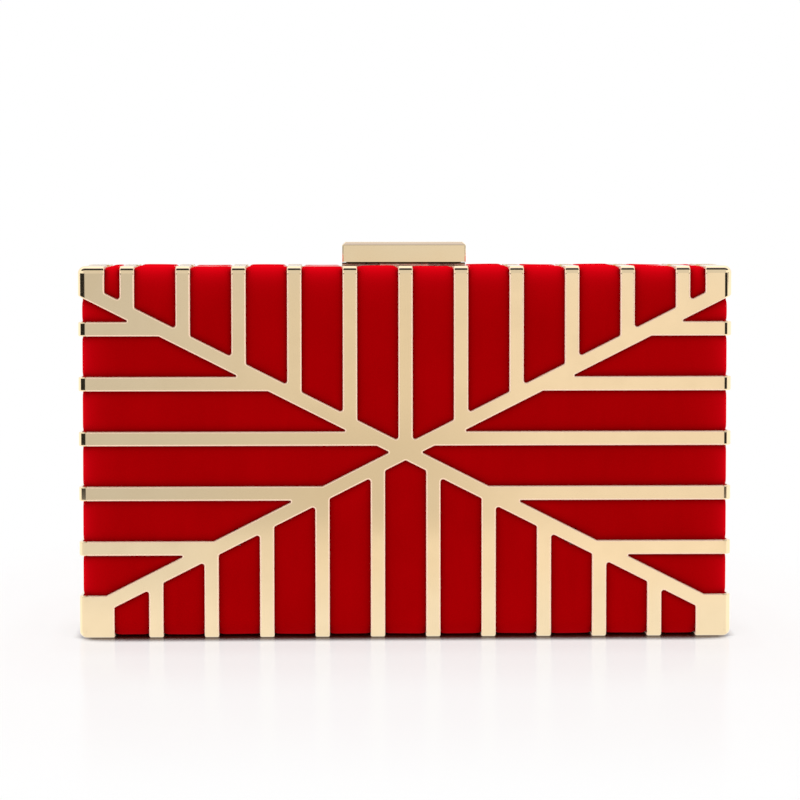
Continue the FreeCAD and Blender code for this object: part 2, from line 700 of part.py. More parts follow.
def chain_lug():
    """Make the right lug: a bent plate with a foot on the lining and an eye that faces the mouth."""
    body = doc.addObject("PartDesign::Body", "chain_lug_right")
    outline = sketch_on(body, "XY_Plane", f"{LUG_Z} - d.lug_height/2")
    inner = f"({LUG_OUT} - d.lug_wall)"
    polygon(outline, [
        (LUG_OUT, LUG_FRONT),
        (LUG_OUT, f"{LUG_FRONT} + d.lug_depth"),
        (inner, f"{LUG_FRONT} + d.lug_depth"),
        (inner, f"{LUG_FRONT} + d.lug_wall"),
        (f"{LUG_OUT} - d.lug_reach", f"{LUG_FRONT} + d.lug_wall"),
        (f"{LUG_OUT} - d.lug_reach", LUG_FRONT),
    ])
    plate = feature(body, "Pad", outline, "d.lug_height", False)
    tip = value(f"{LUG_OUT} - d.lug_reach + d.fit_clearance")
    flat = value("d.lug_wall + d.fit_clearance")
    round_edges(
        body, plate, "d.lug_corner_radius",
        lambda edge: edge.BoundBox.XMax < tip and edge.BoundBox.ZLength < flat,
    )
    eye = sketch_on(body, "XZ_Plane", "0")
    circle(eye, f"{inner} - (d.lug_reach - d.lug_wall)/2", LUG_Z, "d.lug_bore_radius")
    feature(body, "Pocket", eye, "d.half_depth", False)
    hole = sketch_on(body, "YZ_Plane", f"{LUG_OUT} - 2*d.lug_wall")
    circle(hole, LUG_RIVET_Y, LUG_Z, "d.lug_rivet_radius + d.fit_clearance/2")
    feature(body, "Pocket", hole, "4*d.lug_wall", True)
    return body


# Trays of the front half, from the inside out
lining = tray("front_lining", LINING, LAYER_MOUTH, "d.lining_wall",
              f"(d.half_depth - {LINING_FLOOR})", "d.lining_wall", "d.layer_edge_radius")
shell = pierced(tray("front_shell", SHELL, LAYER_MOUTH, "d.shell_wall", SHELL_FRONT,
                     "d.shell_wall", "d.layer_edge_radius"), "d.screw_radius + d.fit_clearance")
boss_hole = "d.boss_radius + d.boss_clearance"
padding = pierced(tray("front_padding", PADDING, LAYER_MOUTH, "d.padding_wall",
                       f"(d.half_depth - {PADDING})", "d.padding_wall", "d.layer_edge_radius"), boss_hole)
velvet = pierced(tray("front_velvet", VELVET, LAYER_MOUTH, "d.velvet_wall",
                      f"(d.half_depth - {VELVET})", "d.velvet_wall", "d.layer_edge_radius"), boss_hole)

# Cage of the front half
cage_block = tray("cage_block", "0", CAGE_MOUTH, "d.cage_wall", "d.half_depth", "d.cage_wall",
                  "d.cage_edge_radius")
openwork = doc.addObject("Part::Common", "openwork")
openwork.Base = cage_block
openwork.Tool = lattice()
rounded_bars = round_bars("openwork_rounded", soften_openings("openwork_softened", openwork))
bosses = []
boss_bores = []
for boss_index, boss_place in enumerate(boss_places()):
    boss_end = f"-({SHELL_FRONT} + d.layer_gap)"
    boss_ends = (f"-({CAGE_BACK} + d.cage_wall/2)", boss_end)
    bosses.append(rod(f"boss_{boss_index}", "y", "d.boss_radius", boss_ends, boss_place))
    bore_ends = ("-(d.half_depth - d.boss_skin)", f"{boss_end} + d.overrun")
    boss_bores.append(rod(f"boss_bore_{boss_index}", "y", "d.screw_radius + d.fit_clearance",
                          bore_ends, boss_place))
cage = cut("front_cage", fuse("cage_with_bosses", [rounded_bars] + bosses), boss_bores)
front_screws = cage_screws("front_cage_screws")

# Rims with the rivet seats of the clasp
base_rivet_y = "((d.base_front + d.pivot_setback - d.ear_radius)/2)"
strike_rivet_y = f"-((d.strike_back + {STRIKE_FRONT} - d.bracket_wall)/2)"
base_rivet_places = [(f"{side}d.clasp_rivet_spread", base_rivet_y) for side in ("-", "")]
strike_rivet_places = [(f"{side}d.clasp_rivet_spread", strike_rivet_y) for side in ("-", "")]
seat_ends = (f"{RIVET_SEAT} - d.fit_clearance", f"{RIM_TOP} + d.overrun")
seat_radius = "d.rivet_radius + d.fit_clearance/2"
rim_seated = rim()
front_rim = cut("front_rim", rim_seated,
                [rod("strike_seat", "z", seat_radius, seat_ends, place) for place in strike_rivet_places])
back_rim = cut("back_rim", mirrored("rim_turned", rim_seated, (0, 1, 0)),
               [rod("base_seat", "z", seat_radius, seat_ends, place) for place in base_rivet_places])

# Back half: the same trays, turned, with holes for the lug rivets
lug_rivet_ends = (f"{LUG_OUT} - d.lug_wall", f"d.case_width/2 - {SHELL}")
lug_hole = "d.lug_rivet_radius + d.fit_clearance/2"
lug_axis = (LUG_RIVET_Y, LUG_Z)
through = ("-d.case_width", "d.case_width")
back_lining = cut("back_lining", mirrored("lining_turned", lining, (0, 1, 0)),
                  [rod("lining_lug_hole", "x", lug_hole, through, lug_axis)])
back_shell = cut("back_shell", mirrored("shell_turned", shell, (0, 1, 0)),
                 [rod("shell_lug_hole", "x", lug_hole, through, lug_axis)])
back_padding = mirrored("back_padding", padding, (0, 1, 0))
back_velvet = mirrored("back_velvet", velvet, (0, 1, 0))
back_cage = mirrored("back_cage", cage, (0, 1, 0))
back_screws = mirrored("back_cage_screws", front_screws, (0, 1, 0))

# Hinges
inner_knuckle = [("-d.knuckle_length/2", "d.knuckle_length/2")]
outer_start = "d.knuckle_length/2 + d.knuckle_gap"
outer_knuckles = [(f"-{LEAF_HALF}", f"-({outer_start})"), (outer_start, LEAF_HALF)]
hinges = []
leaf_rivet_places = []
for label, side in (("left", "-"), ("right", "")):
    hinges.append(leaf(f"front_hinge_leaf_{label}", outer_knuckles, side, "-"))
    hinges.append(leaf(f"back_hinge_leaf_{label}", inner_knuckle, side, "+"))
    hinges.append(rod(f"hinge_pin_{label}", "x", "d.hinge_pin_radius",
                      (f"{side}{HINGE_X} - {LEAF_HALF}", f"{side}{HINGE_X} + {LEAF_HALF}"),
                      ("0", "d.hinge_height")))
    for sign in ("-", "+"):
        leaf_rivet_places.append((f"{side}{HINGE_X} {sign} {LEAF_RIVET_X}", LEAF_RIVET_Z))
rivet_reach = f"({RIM_FACE} + d.rivet_depth - d.fit_clearance)"
hinges.append(rivets("front_hinge_rivets", "y", "d.rivet_radius", (f"-{rivet_reach}", f"-{RIM_FACE}"),
                     None, leaf_rivet_places))
hinges.append(rivets("back_hinge_rivets", "y", "d.rivet_radius", (RIM_FACE, rivet_reach),
                     None, leaf_rivet_places))

# Clasp
base_top = f"({RIM_TOP} + d.base_height)"
strike_top = f"({RIM_TOP} + d.bracket_wall)"
hook_low = f"({BRACKET_TOP} - d.bracket_wall)"
clasp = [
    clasp_bar(),
    clasp_hook(),
    clasp_base(),
    clasp_strike(),
    clasp_spring(),
    rod("clasp_pivot_pin", "x", "d.pivot_radius", (f"-{BASE_HALF}", BASE_HALF), ("d.pivot_setback", PIVOT_Z)),
    rivets("clasp_hook_rivets", "z", "d.rivet_radius",
           (hook_low, f"{CLASP_TOP} - d.clasp_wall + d.clasp_rivet_grip"),
           ("d.rivet_head_radius", (f"{hook_low} - d.rivet_head_height", hook_low)),
           [("-d.clasp_rivet_spread", "0"), ("d.clasp_rivet_spread", "0")]),
    rivets("clasp_base_rivets", "z", "d.rivet_radius", (RIVET_SEAT, base_top), None, base_rivet_places),
    rivets("clasp_strike_rivets", "z", "d.rivet_radius", (RIVET_SEAT, strike_top), None,
           strike_rivet_places),
]

# Chain lugs of the back half
lug = chain_lug()
lug_head = f"({LUG_OUT} - d.lug_wall - d.lug_rivet_head_height)"
lug_rivet = fuse("lug_rivet", [
    rod("lug_rivet_pin", "x", "d.lug_rivet_radius", lug_rivet_ends, lug_axis),
    rod("lug_rivet_cap", "x", "d.lug_rivet_head_radius", (lug_head, f"{LUG_OUT} - d.lug_wall"), lug_axis),
])
lugs = [
    lug,
    mirrored("chain_lug_left", lug, (1, 0, 0)),
    fuse("chain_lug_rivets", [lug_rivet, mirrored("lug_rivet_left", lug_rivet, (1, 0, 0))]),
]

doc.recompute()
pieces = [lining, shell, padding, velvet, cage, front_screws, front_rim, back_rim, back_lining, back_shell,
          back_padding, back_velvet, back_cage, back_screws] + hinges + clasp + lugs
for item in doc.Objects:
    if "Invalid" in item.State or "Error" in item.State:
        raise RuntimeError(f"{item.Label} did not build")
os.makedirs("parts", exist_ok=True)
for piece in pieces:
    if piece.Shape.isNull() or not piece.Shape.isValid():
        raise RuntimeError(f"{piece.Label} has no valid shape")
    piece.Shape.exportStep(f"parts/{piece.Label}.step")
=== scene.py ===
"""Looks of a hard box clutch: red velvet under an openwork metal cage.

Lengths of the pieces and their finishes are millimetres in the part's own frame (X to
the right, front towards -Y, Z up), and become metres when a mesh or a node is made.
Lengths of the floor and the camera are metres, apart from the floor's grain and the
camera's sensor, which are millimetres.
"""

import json
import logging
import math
from dataclasses import dataclass, field
from enum import Enum

import bpy
import numpy as np
from mathutils import Matrix, Vector


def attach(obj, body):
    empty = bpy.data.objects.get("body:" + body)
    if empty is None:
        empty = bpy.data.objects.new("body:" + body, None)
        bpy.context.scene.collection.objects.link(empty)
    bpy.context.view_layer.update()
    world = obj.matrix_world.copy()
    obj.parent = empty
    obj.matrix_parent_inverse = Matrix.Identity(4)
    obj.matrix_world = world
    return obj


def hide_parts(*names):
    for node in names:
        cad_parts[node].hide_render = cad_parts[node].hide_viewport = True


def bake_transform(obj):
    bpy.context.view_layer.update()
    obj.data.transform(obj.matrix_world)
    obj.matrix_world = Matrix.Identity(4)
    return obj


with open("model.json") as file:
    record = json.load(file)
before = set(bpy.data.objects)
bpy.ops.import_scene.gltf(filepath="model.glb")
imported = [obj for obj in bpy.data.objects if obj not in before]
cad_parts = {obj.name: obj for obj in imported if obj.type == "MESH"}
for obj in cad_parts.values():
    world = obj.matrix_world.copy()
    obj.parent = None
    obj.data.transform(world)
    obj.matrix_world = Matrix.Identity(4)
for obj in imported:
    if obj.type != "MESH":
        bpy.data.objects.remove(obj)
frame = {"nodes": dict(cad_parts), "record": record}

log = logging.getLogger("clutch")

MM = 0.001
# Names of the velvet's painted shade beside the bars and painted sheen round the edges.
PAINTED_BAR_SHADE = "painted_bar_shade"
PAINTED_SHEEN = "painted_sheen"
WHITE = (1.0, 1.0, 1.0, 1.0)
RISING = (0.0, 1.0)
FALLING = (1.0, 0.0)
MIX_COLOURS = slice(6, 8)  # places of the two colours among a Mix node's inputs
MIX_RESULT = 2  # place of the mixed colour among its outputs

Pair = tuple[float, float]
Triple = tuple[float, float, float]
Colour = Triple
Level = float | Colour
Stops = tuple[tuple[float, Level], ...]
Socket = bpy.types.NodeSocket
Node = bpy.types.Node
Material = bpy.types.Material
Finishes = dict[str, Material]
Piece = bpy.types.Object


class Half(Enum):
    """The two halves of the case, which mirror each other in the plane Y = 0."""

    FRONT = "front"
    BACK = "back"

    @property
    def turn(self) -> float:
        """Sign of Y on the outside of this half."""
        return -1.0 if self is Half.FRONT else 1.0

    @property
    def body(self) -> str:
        """Name of the body that this half's pieces ride on."""
        return f"{self.value}_half"


class Side(Enum):
    """Which face of a soft tray is seen, and so which way its normals point."""

    OUTER = 1.0
    INNER = -1.0


class NodeBoard:
    """A node tree under construction, with short ways to add and join nodes."""

    def __init__(self, tree: bpy.types.NodeTree) -> None:
        """Empty the tree, ready for new nodes."""
        self.tree = tree
        tree.nodes.clear()

    def join(self, source: Socket, target: Socket) -> None:
        """Join an output to an input."""
        self.tree.links.new(source, target)

    def put(self, value: object, target: Socket) -> None:
        """Fill an input.

        Args:
            value: a socket that is joined to the input, or else the input's value.
            target: the input.
        """
        if isinstance(value, Socket):
            self.join(value, target)
        else:
            target.default_value = value

    def add(self, kind: str, **values: object) -> Node:
        """Add a node and fill in what it is given.

        Args:
            kind: Blender's name of the node type.
            **values: properties of the node, or its inputs with _ for a space.

        Returns:
            The new node.
        """
        node = self.tree.nodes.new(kind)
        own = {p.identifier for p in node.bl_rna.properties}
        for name, value in values.items():
            if name in own:
                setattr(node, name, value)
            else:
                self.put(value, node.inputs[name.replace("_", " ")])
        return node

    def close(self, shader: Node, kind: str = "ShaderNodeOutputMaterial") -> None:
        """Join the last shader to the tree's output."""
        self.join(shader.outputs[0], self.add(kind).inputs["Surface"])

    def place(self) -> Socket:
        """Give the Object coordinates of the piece, in metres."""
        return self.add("ShaderNodeTexCoord").outputs["Object"]

    def split(self, vector: Socket) -> bpy.types.NodeOutputs:
        """Give the X, Y and Z parts of a vector."""
        return self.add("ShaderNodeSeparateXYZ", Vector=vector).outputs

    def rays(self) -> tuple[Socket, Socket]:
        """Tell rays apart.

        Returns:
            One for the camera's rays, and one for those of mirrors and clear things.
        """
        ray = self.add("ShaderNodeLightPath").outputs
        sent_on = ray["Is Glossy Ray"], ray["Is Transmission Ray"]
        return ray["Is Camera Ray"], self.maths("MAXIMUM", *sent_on)

    def noise(self, place: Socket, grain: float, detail: float = 2.0) -> Socket:
        """Add a noise whose lumps are about a given size.

        Args:
            place: coordinates that the noise is read at.
            grain: size of a lump in millimetres.
            detail: how many finer layers lie on it.

        Returns:
            The noise's value, around one half.
        """
        scale = 1.0 / (grain * MM)
        node = self.add("ShaderNodeTexNoise", Vector=place, Scale=scale, Detail=detail)
        return node.outputs[0]

    def span(self, value: Socket, source: Pair, target: Pair = RISING) -> Socket:
        """Carry a value from one span to another, held at the ends.

        Args:
            value: socket that is carried.
            source: lowest and highest value that come in.
            target: what they become.

        Returns:
            The carried value.
        """
        node = self.add(
            "ShaderNodeMapRange",
            Value=value,
            From_Min=source[0],
            From_Max=source[1],
            To_Min=target[0],
            To_Max=target[1],
        )
        return node.outputs[0]

    def maths(self, operation: str, *terms: object) -> Socket:
        """Add a Math node.

        Args:
            operation: its operation.
            *terms: sockets or numbers for its inputs, in order.

        Returns:
            The result.
        """
        node = self.add("ShaderNodeMath", operation=operation)
        for target, term in zip(node.inputs, terms):
            self.put(term, target)
        return node.outputs[0]

    def times(self, *terms: object) -> Socket:
        """Multiply two sockets or numbers."""
        return self.maths("MULTIPLY", *terms)

    def past(self, value: Socket, limit: float) -> Socket:
        """How far a value lies past a limit, on either side of zero."""
        return self.maths("SUBTRACT", self.maths("ABSOLUTE", value), limit)

    def length(self, across: Socket, along: Socket) -> Socket:
        """Add the length of a line with two parts at a right angle."""
        squares = [self.times(part, part) for part in (across, along)]
        return self.maths("SQRT", self.maths("ADD", *squares))

    def mixed(self, share: Socket, *colours: object) -> Socket:
        """Mix two colours.

        Args:
            share: socket with the share of the second colour.
            *colours: the two colours, each a socket or a linear colour.

        Returns:
            The mixed colour.
        """
        node = self.add("ShaderNodeMix", data_type="RGBA")
        self.join(share, node.inputs[0])
        for target, colour in zip(node.inputs[MIX_COLOURS], colours):
            self.put(colour if isinstance(colour, Socket) else (*colour, 1.0), target)
        return node.outputs[MIX_RESULT]

    def ramp(self, value: Socket, stops: Stops) -> Socket:
        """Add a ramp of light levels.

        Args:
            value: socket that runs along the ramp, from 0 to 1.
            stops: position and level of each stop, the level a number or a colour.

        Returns:
            The level as a colour.
        """
        node = self.add("ShaderNodeValToRGB", Fac=value)
        node.color_ramp.interpolation = "EASE"
        elements = node.color_ramp.elements
        while len(elements) < len(stops):
            elements.new(1.0)
        for element, (position, level) in zip(elements, stops):
            element.position = position
            colour = level if isinstance(level, tuple) else (level, level, level)
            element.color = (*colour, 1.0)
        return node.outputs[0]

    def bumped(
        self,
        height: Socket,
        depth: float,
        strength: float,
        under: Socket | None = None,
    ) -> Socket:
        """Add a bump.

        Args:
            height: socket with the height, from 0 to 1.
            depth: height of the bump in millimetres.
            strength: share of the bump that shows.
            under: normal of a coarser bump that this one lies on.

        Returns:
            The bumped normal.
        """
        node = self.add(
            "ShaderNodeBump", Height=height, Distance=depth * MM, Strength=strength
        )
        if under is not None:
            self.join(under, node.inputs["Normal"])
        return node.outputs[0]

    def blend(self, share: object, first: Node, second: Node) -> Node:
        """Mix two shaders.

        Args:
            share: number or socket with the share of the second shader.
            first, second: nodes of the shaders.

        Returns:
            The mixing node.
        """
        mixed = self.add("ShaderNodeMixShader", Fac=share)
        self.join(first.outputs[0], mixed.inputs[1])
        self.join(second.outputs[0], mixed.inputs[2])
        return mixed


def new_material(name: str) -> tuple[Material, NodeBoard]:
    """Make a material with an empty node tree.

    Args:
        name: its name.

    Returns:
        The material and the board of its nodes.
    """
    material = bpy.data.materials.new(name)
    material.use_nodes = True
    return material, NodeBoard(material.node_tree)


def finish_surface(board: NodeBoard, **values: object) -> None:
    """Close a material with a Principled shader of the given inputs."""
    board.close(board.add("ShaderNodeBsdfPrincipled", **values))


def new_object(name: str, data: bpy.types.ID) -> Piece:
    """Make an object and put it in the scene.

    Args:
        name: its name.
        data: its mesh or camera.

    Returns:
        The new object, at the origin.
    """
    made = bpy.data.objects.new(name, data)
    bpy.context.scene.collection.objects.link(made)
    return made


def smooth_step(share: np.ndarray) -> np.ndarray:
    """Ease shares from 0 to 1, so that they start and end level."""
    return share * share * (3 - 2 * share)


@dataclass(frozen=True)
class PlatedMetal:
    """Polished plated metal, with soft waves, hazy handling marks and fine grain.

    The haze moves the tint and the gloss, each over a span of its own.
    """

    name: str
    tint: Colour
    tint_hazy: Colour
    gloss: Pair
    wave: float = 26.0
    wave_depth: float = 0.02
    haze: float = 9.0
    grain: float = 0.5
    grain_depth: float = 0.002
    grain_share: float = 0.35
    haze_tint: Pair = (0.35, 0.7)
    haze_gloss: Pair = (0.3, 0.75)

    def look(self, board: NodeBoard, place: Socket) -> dict[str, object]:
        """Work out the surface: haze moves colour and gloss, waves bend reflections.

        Args:
            board: the material's nodes.
            place: the Object coordinates.

        Returns:
            Inputs of the Principled shader.
        """
        haze = board.noise(place, self.haze, detail=5.0)
        wave = board.noise(place, self.wave, detail=1.0)
        grain = board.noise(place, self.grain, detail=2.0)
        coarse = board.bumped(wave, self.wave_depth, 1.0)
        return {
            "Base_Color": board.mixed(
                board.span(haze, self.haze_tint), self.tint, self.tint_hazy
            ),
            "Metallic": 1.0,
            "Roughness": board.span(haze, self.haze_gloss, self.gloss),
            "Normal": board.bumped(grain, self.grain_depth, self.grain_share, coarse),
        }

    def material(self) -> Material:
        """Build the material.

        Returns:
            The material.
        """
        material, board = new_material(self.name)
        finish_surface(board, **self.look(board, board.place()))
        return material


@dataclass(frozen=True)
class HighlitEdgeMetal(PlatedMetal):
    """Plated metal of the cages, with a painted highlight on the bars' long edges.

    The edges are painted pale and matt where they would catch the light. The edges that
    face up get a darker tint, a painted shade. The face is the zone of the large faces
    in
    which edges are painted: its middle height, and its half sizes. An edge that faces
    sideways is painted beyond that zone too.
    """

    edge_gloss: float = 0.5
    edge_metal: float = 0.2
    # Tint of the painted edge highlight, and the darker tint of upward edges, a painted
    # shade.
    edge_highlight_tint: Colour = (1.0, 0.74, 0.55)
    upward_edge_shade_tint: Colour = (0.56, 0.39, 0.28)
    upper_from: Pair = (0.1, 0.6)
    turned_aside: Pair = (0.985, 0.999)
    sideways: float = 0.6
    face_middle: float = 57.0
    face_size: Triple = (97.5, 22.0, 54.5)

    def painted_edge_share(
        self, board: NodeBoard, place: Socket, turn: bpy.types.NodeOutputs
    ) -> Socket:
        """Share of the painted edge highlight: full where the surface turns aside
        within the zone.

        Args:
            board: the material's nodes.
            place: the Object coordinates.
            turn: the normal's parts.

        Returns:
            A share from 0 to 1.
        """
        wide, deep, high = (size * MM for size in self.face_size)
        at = board.split(place)
        across, depth, side, facing = (
            board.maths("ABSOLUTE", value)
            for value in (at["X"], at["Y"], turn["X"], turn["Y"])
        )
        rise = board.maths("SUBTRACT", at["Z"], self.face_middle * MM)
        tall = board.maths("LESS_THAN", board.maths("ABSOLUTE", rise), high)
        face = board.times(board.maths("GREATER_THAN", depth, deep), tall)
        sideways = board.maths("GREATER_THAN", side, self.sideways)
        zone = board.times(
            board.maths("MAXIMUM", face, sideways),
            board.maths("LESS_THAN", across, wide),
        )
        return board.times(board.span(facing, self.turned_aside, FALLING), zone)

    def look(self, board: NodeBoard, place: Socket) -> dict[str, object]:
        """Work out the surface: as plated metal, with a pale, matt painted highlight on
        the edges.

        Args:
            board: the material's nodes.
            place: the Object coordinates.

        Returns:
            Inputs of the Principled shader.
        """
        values = super().look(board, place)
        normal = board.add("ShaderNodeTexCoord").outputs["Normal"]
        turn = board.split(normal)
        painted_edge_share = self.painted_edge_share(board, place, turn)
        # Edges are painted pale as a highlight, and darker where they face up as
        # painted shade.
        facing_up = board.span(turn["Z"], self.upper_from)
        edge = board.mixed(facing_up, self.edge_highlight_tint, self.upward_edge_shade_tint)
        values["Base_Color"] = board.mixed(painted_edge_share, values["Base_Color"], edge)
        values["Metallic"] = board.span(painted_edge_share, RISING, (1.0, self.edge_metal))
        highlit_edges = board.times(painted_edge_share, self.edge_gloss)
        values["Roughness"] = board.maths("MAXIMUM", values["Roughness"], highlit_edges)
        return values


@dataclass(frozen=True)
class FootReflectionMetal(PlatedMetal):
    """Rough plated metal of the clasp's works, with a pale painted reflection where it
    meets the rim.
    """

    foot: Pair = (114.2, 114.45)
    # Pale pinkish tint below the foot's height: a painted reflection.
    foot_reflection_tint: Colour = (1.0, 0.66, 0.56)

    def look(self, board: NodeBoard, place: Socket) -> dict[str, object]:
        """Work out the surface: as plated metal, but with a pale painted reflection up
        to the foot's height.

        Args:
            board: the material's nodes.
            place: the Object coordinates.

        Returns:
            Inputs of the Principled shader.
        """
        values = super().look(board, place)
        height = board.split(place)["Z"]
        # Pale below the foot's height: a painted reflection.
        foot_reflection = board.span(height, tuple(z * MM for z in self.foot), FALLING)
        values["Base_Color"] = board.mixed(foot_reflection, values["Base_Color"], self.foot_reflection_tint)
        return values


@dataclass(frozen=True)
class PileVelvet:
    """Short dense pile: brushed patches of two reds, fine grain and a coloured sheen.

    A bump has its depth in millimetres and the share of it that shows.
    """

    name: str = "red_velvet_pile"
    deep: Colour = (0.285, 0.0, 0.0006)
    light: Colour = (0.335, 0.0, 0.001)
    # Lighter red round the ends and the top: a painted sheen.
    painted_sheen: Colour = (0.5, 0.0005, 0.004)
    # Dark red beside the bars, where they press the pile: painted shade.
    painted_bar_shade: Colour = (0.12, 0.0, 0.0)
    sheen_tint: Colour = (1.0, 0.004, 0.012)
    sheen: float = 1.0
    sheen_blur: float = 0.5
    rough: float = 0.9
    patch: float = 24.0
    patch_bump: Pair = (0.5, 0.2)
    streak: float = 3.0
    streak_scale: Triple = (1.0, 1.0, 0.22)
    streak_share: float = 0.35
    pile: float = 0.28
    pile_bump: Pair = (0.12, 0.45)
    pile_share: float = 0.5
    tone: Pair = (0.65, 1.2)

    def material(self) -> Material:
        """Build the material: patches and brush streaks move the red, pile roughens it.

        The red is painted lighter round the edges, a painted sheen, and painted dark
        beside the bars, a painted shade.

        Returns:
            The material.
        """
        material, board = new_material(self.name)
        place = board.place()
        brush = board.add("ShaderNodeMapping", Vector=place, Scale=self.streak_scale)
        patch = board.noise(place, self.patch, detail=3.0)
        streak = board.noise(brush.outputs[0], self.streak, detail=3.0)
        pile = board.noise(place, self.pile, detail=2.0)
        tone = board.maths("ADD", patch, board.times(streak, self.streak_share))
        tone = board.maths("ADD", tone, board.times(pile, self.pile_share))
        red = board.mixed(board.span(tone, self.tone), self.deep, self.light)
        # Mix in the painted sheen round the edges and the painted shade beside the
        # bars.
        for name, tint in ((PAINTED_SHEEN, self.painted_sheen), (PAINTED_BAR_SHADE, self.painted_bar_shade)):
            share = board.add("ShaderNodeAttribute", attribute_name=name).outputs["Fac"]
            red = board.mixed(share, red, tint)
        coarse = board.bumped(patch, *self.patch_bump)
        finish_surface(
            board,
            Base_Color=red,
            Roughness=self.rough,
            Specular_IOR_Level=0.0,
            Sheen_Weight=self.sheen,
            Sheen_Roughness=self.sheen_blur,
            Sheen_Tint=(*self.sheen_tint, 1.0),
            Normal=board.bumped(pile, *self.pile_bump, coarse),
        )
        return material


@dataclass(frozen=True)
class WovenSatin:
    """Lining satin: a fine weave, long soft gloss and slight shade variation.

    The band is the length of one band of Blender's wave texture at a scale of one. A
    bump has its depth in millimetres and the share of it that shows.
    """

    name: str = "champagne_satin"
    shade: Colour = (0.70, 0.56, 0.38)
    light: Colour = (0.75, 0.61, 0.42)
    tone: Pair = (0.35, 0.8)
    thread: float = 0.35
    band: float = 0.314
    wander: float = 0.6
    weave_share: float = 0.25
    weave_bump: Pair = (0.05, 0.4)
    patch: float = 40.0
    patch_gloss: Pair = (0.3, 0.7)
    gloss: Pair = (0.34, 0.46)
    specular: float = 0.6
    sheen: float = 0.2
    sheen_blur: float = 0.35
    sheen_tint: Colour = (1.0, 0.9, 0.75)

    def material(self) -> Material:
        """Build the material: two crossed sets of threads under a soft gloss.

        Returns:
            The material.
        """
        material, board = new_material(self.name)
        place = board.place()
        patch = board.noise(place, self.patch, detail=3.0)
        sets = [
            board.add(
                "ShaderNodeTexWave",
                bands_direction=direction,
                Vector=place,
                Scale=self.band / (self.thread * MM),
                Distortion=self.wander,
                Detail=1.0,
            ).outputs["Fac"]
            for direction in ("X", "Z")
        ]
        weave = board.times(*sets)
        tone = board.maths("ADD", patch, board.times(weave, self.weave_share))
        finish_surface(
            board,
            Base_Color=board.mixed(board.span(tone, self.tone), self.shade, self.light),
            Roughness=board.span(patch, self.patch_gloss, self.gloss),
            Specular_IOR_Level=self.specular,
            Sheen_Weight=self.sheen,
            Sheen_Roughness=self.sheen_blur,
            Sheen_Tint=(*self.sheen_tint, 1.0),
            Normal=board.bumped(weave, *self.weave_bump),
        )
        return material


@dataclass(frozen=True)
class OpenFoam:
    """Pale padding foam with open cells, pitted to a depth of which a share shows."""

    name: str = "padding_foam"
    dark: Colour = (0.55, 0.52, 0.46)
    light: Colour = (0.72, 0.69, 0.62)
    cell: float = 0.8
    cell_bump: Pair = (0.2, 0.6)
    rough: float = 0.9

    def material(self) -> Material:
        """Build the material: cells darken the pale foam and pit its surface.

        Returns:
            The material.
        """
        material, board = new_material(self.name)
        scale = 1.0 / (self.cell * MM)
        cells = board.add("ShaderNodeTexVoronoi", Vector=board.place(), Scale=scale)
        pit = cells.outputs["Distance"]
        finish_surface(
            board,
            Base_Color=board.mixed(pit, self.light, self.dark),
            Roughness=self.rough,
            Normal=board.bumped(pit, *self.cell_bump),
        )
        return material


@dataclass(frozen=True)
class MouldedPlastic:
    """Black moulded plastic of the hidden shells, with a fine eroded grain."""

    name: str = "shell_plastic"
    dark: Colour = (0.012, 0.012, 0.013)
    light: Colour = (0.022, 0.021, 0.021)
    grain: float = 0.6
    grain_bump: Pair = (0.03, 0.5)
    grain_gloss: Pair = (0.3, 0.7)
    gloss: Pair = (0.42, 0.6)

    def material(self) -> Material:
        """Build the material: the grain moves colour, gloss and height together.

        Returns:
            The material.
        """
        material, board = new_material(self.name)
        grain = board.noise(board.place(), self.grain, detail=3.0)
        finish_surface(
            board,
            Base_Color=board.mixed(grain, self.dark, self.light),
            Roughness=board.span(grain, self.grain_gloss, self.gloss),
            Normal=board.bumped(grain, *self.grain_bump),
        )
        return material


PLATE: dict[str, tuple] = dict(
    tint=(0.93, 0.74, 0.475), tint_hazy=(0.90, 0.71, 0.45), gloss=(0.05, 0.11)
)
SMALL: dict[str, float] = dict(wave=8.0, haze=4.0)
GOLD = PlatedMetal("champagne_metal", **PLATE)
# Cage metal with a painted highlight on the bars' edges.
CAGE_GOLD = HighlitEdgeMetal("champagne_metal_highlit_edges", **PLATE)
# The clasp's works are painted dark: painted shade standing for the gap under the clasp
# bar, on a rough plate.
CLASP_SHADE_METAL = FootReflectionMetal(
    "champagne_metal_shaded_works",
    tint=(0.15, 0.10, 0.05),
    tint_hazy=(0.11, 0.075, 0.035),
    gloss=(0.42, 0.58),
    **SMALL,
)
STEEL = PlatedMetal(
    "spring_steel",
    tint=(0.56, 0.57, 0.58),
    tint_hazy=(0.48, 0.49, 0.51),
    gloss=(0.22, 0.36),
    **SMALL,
)


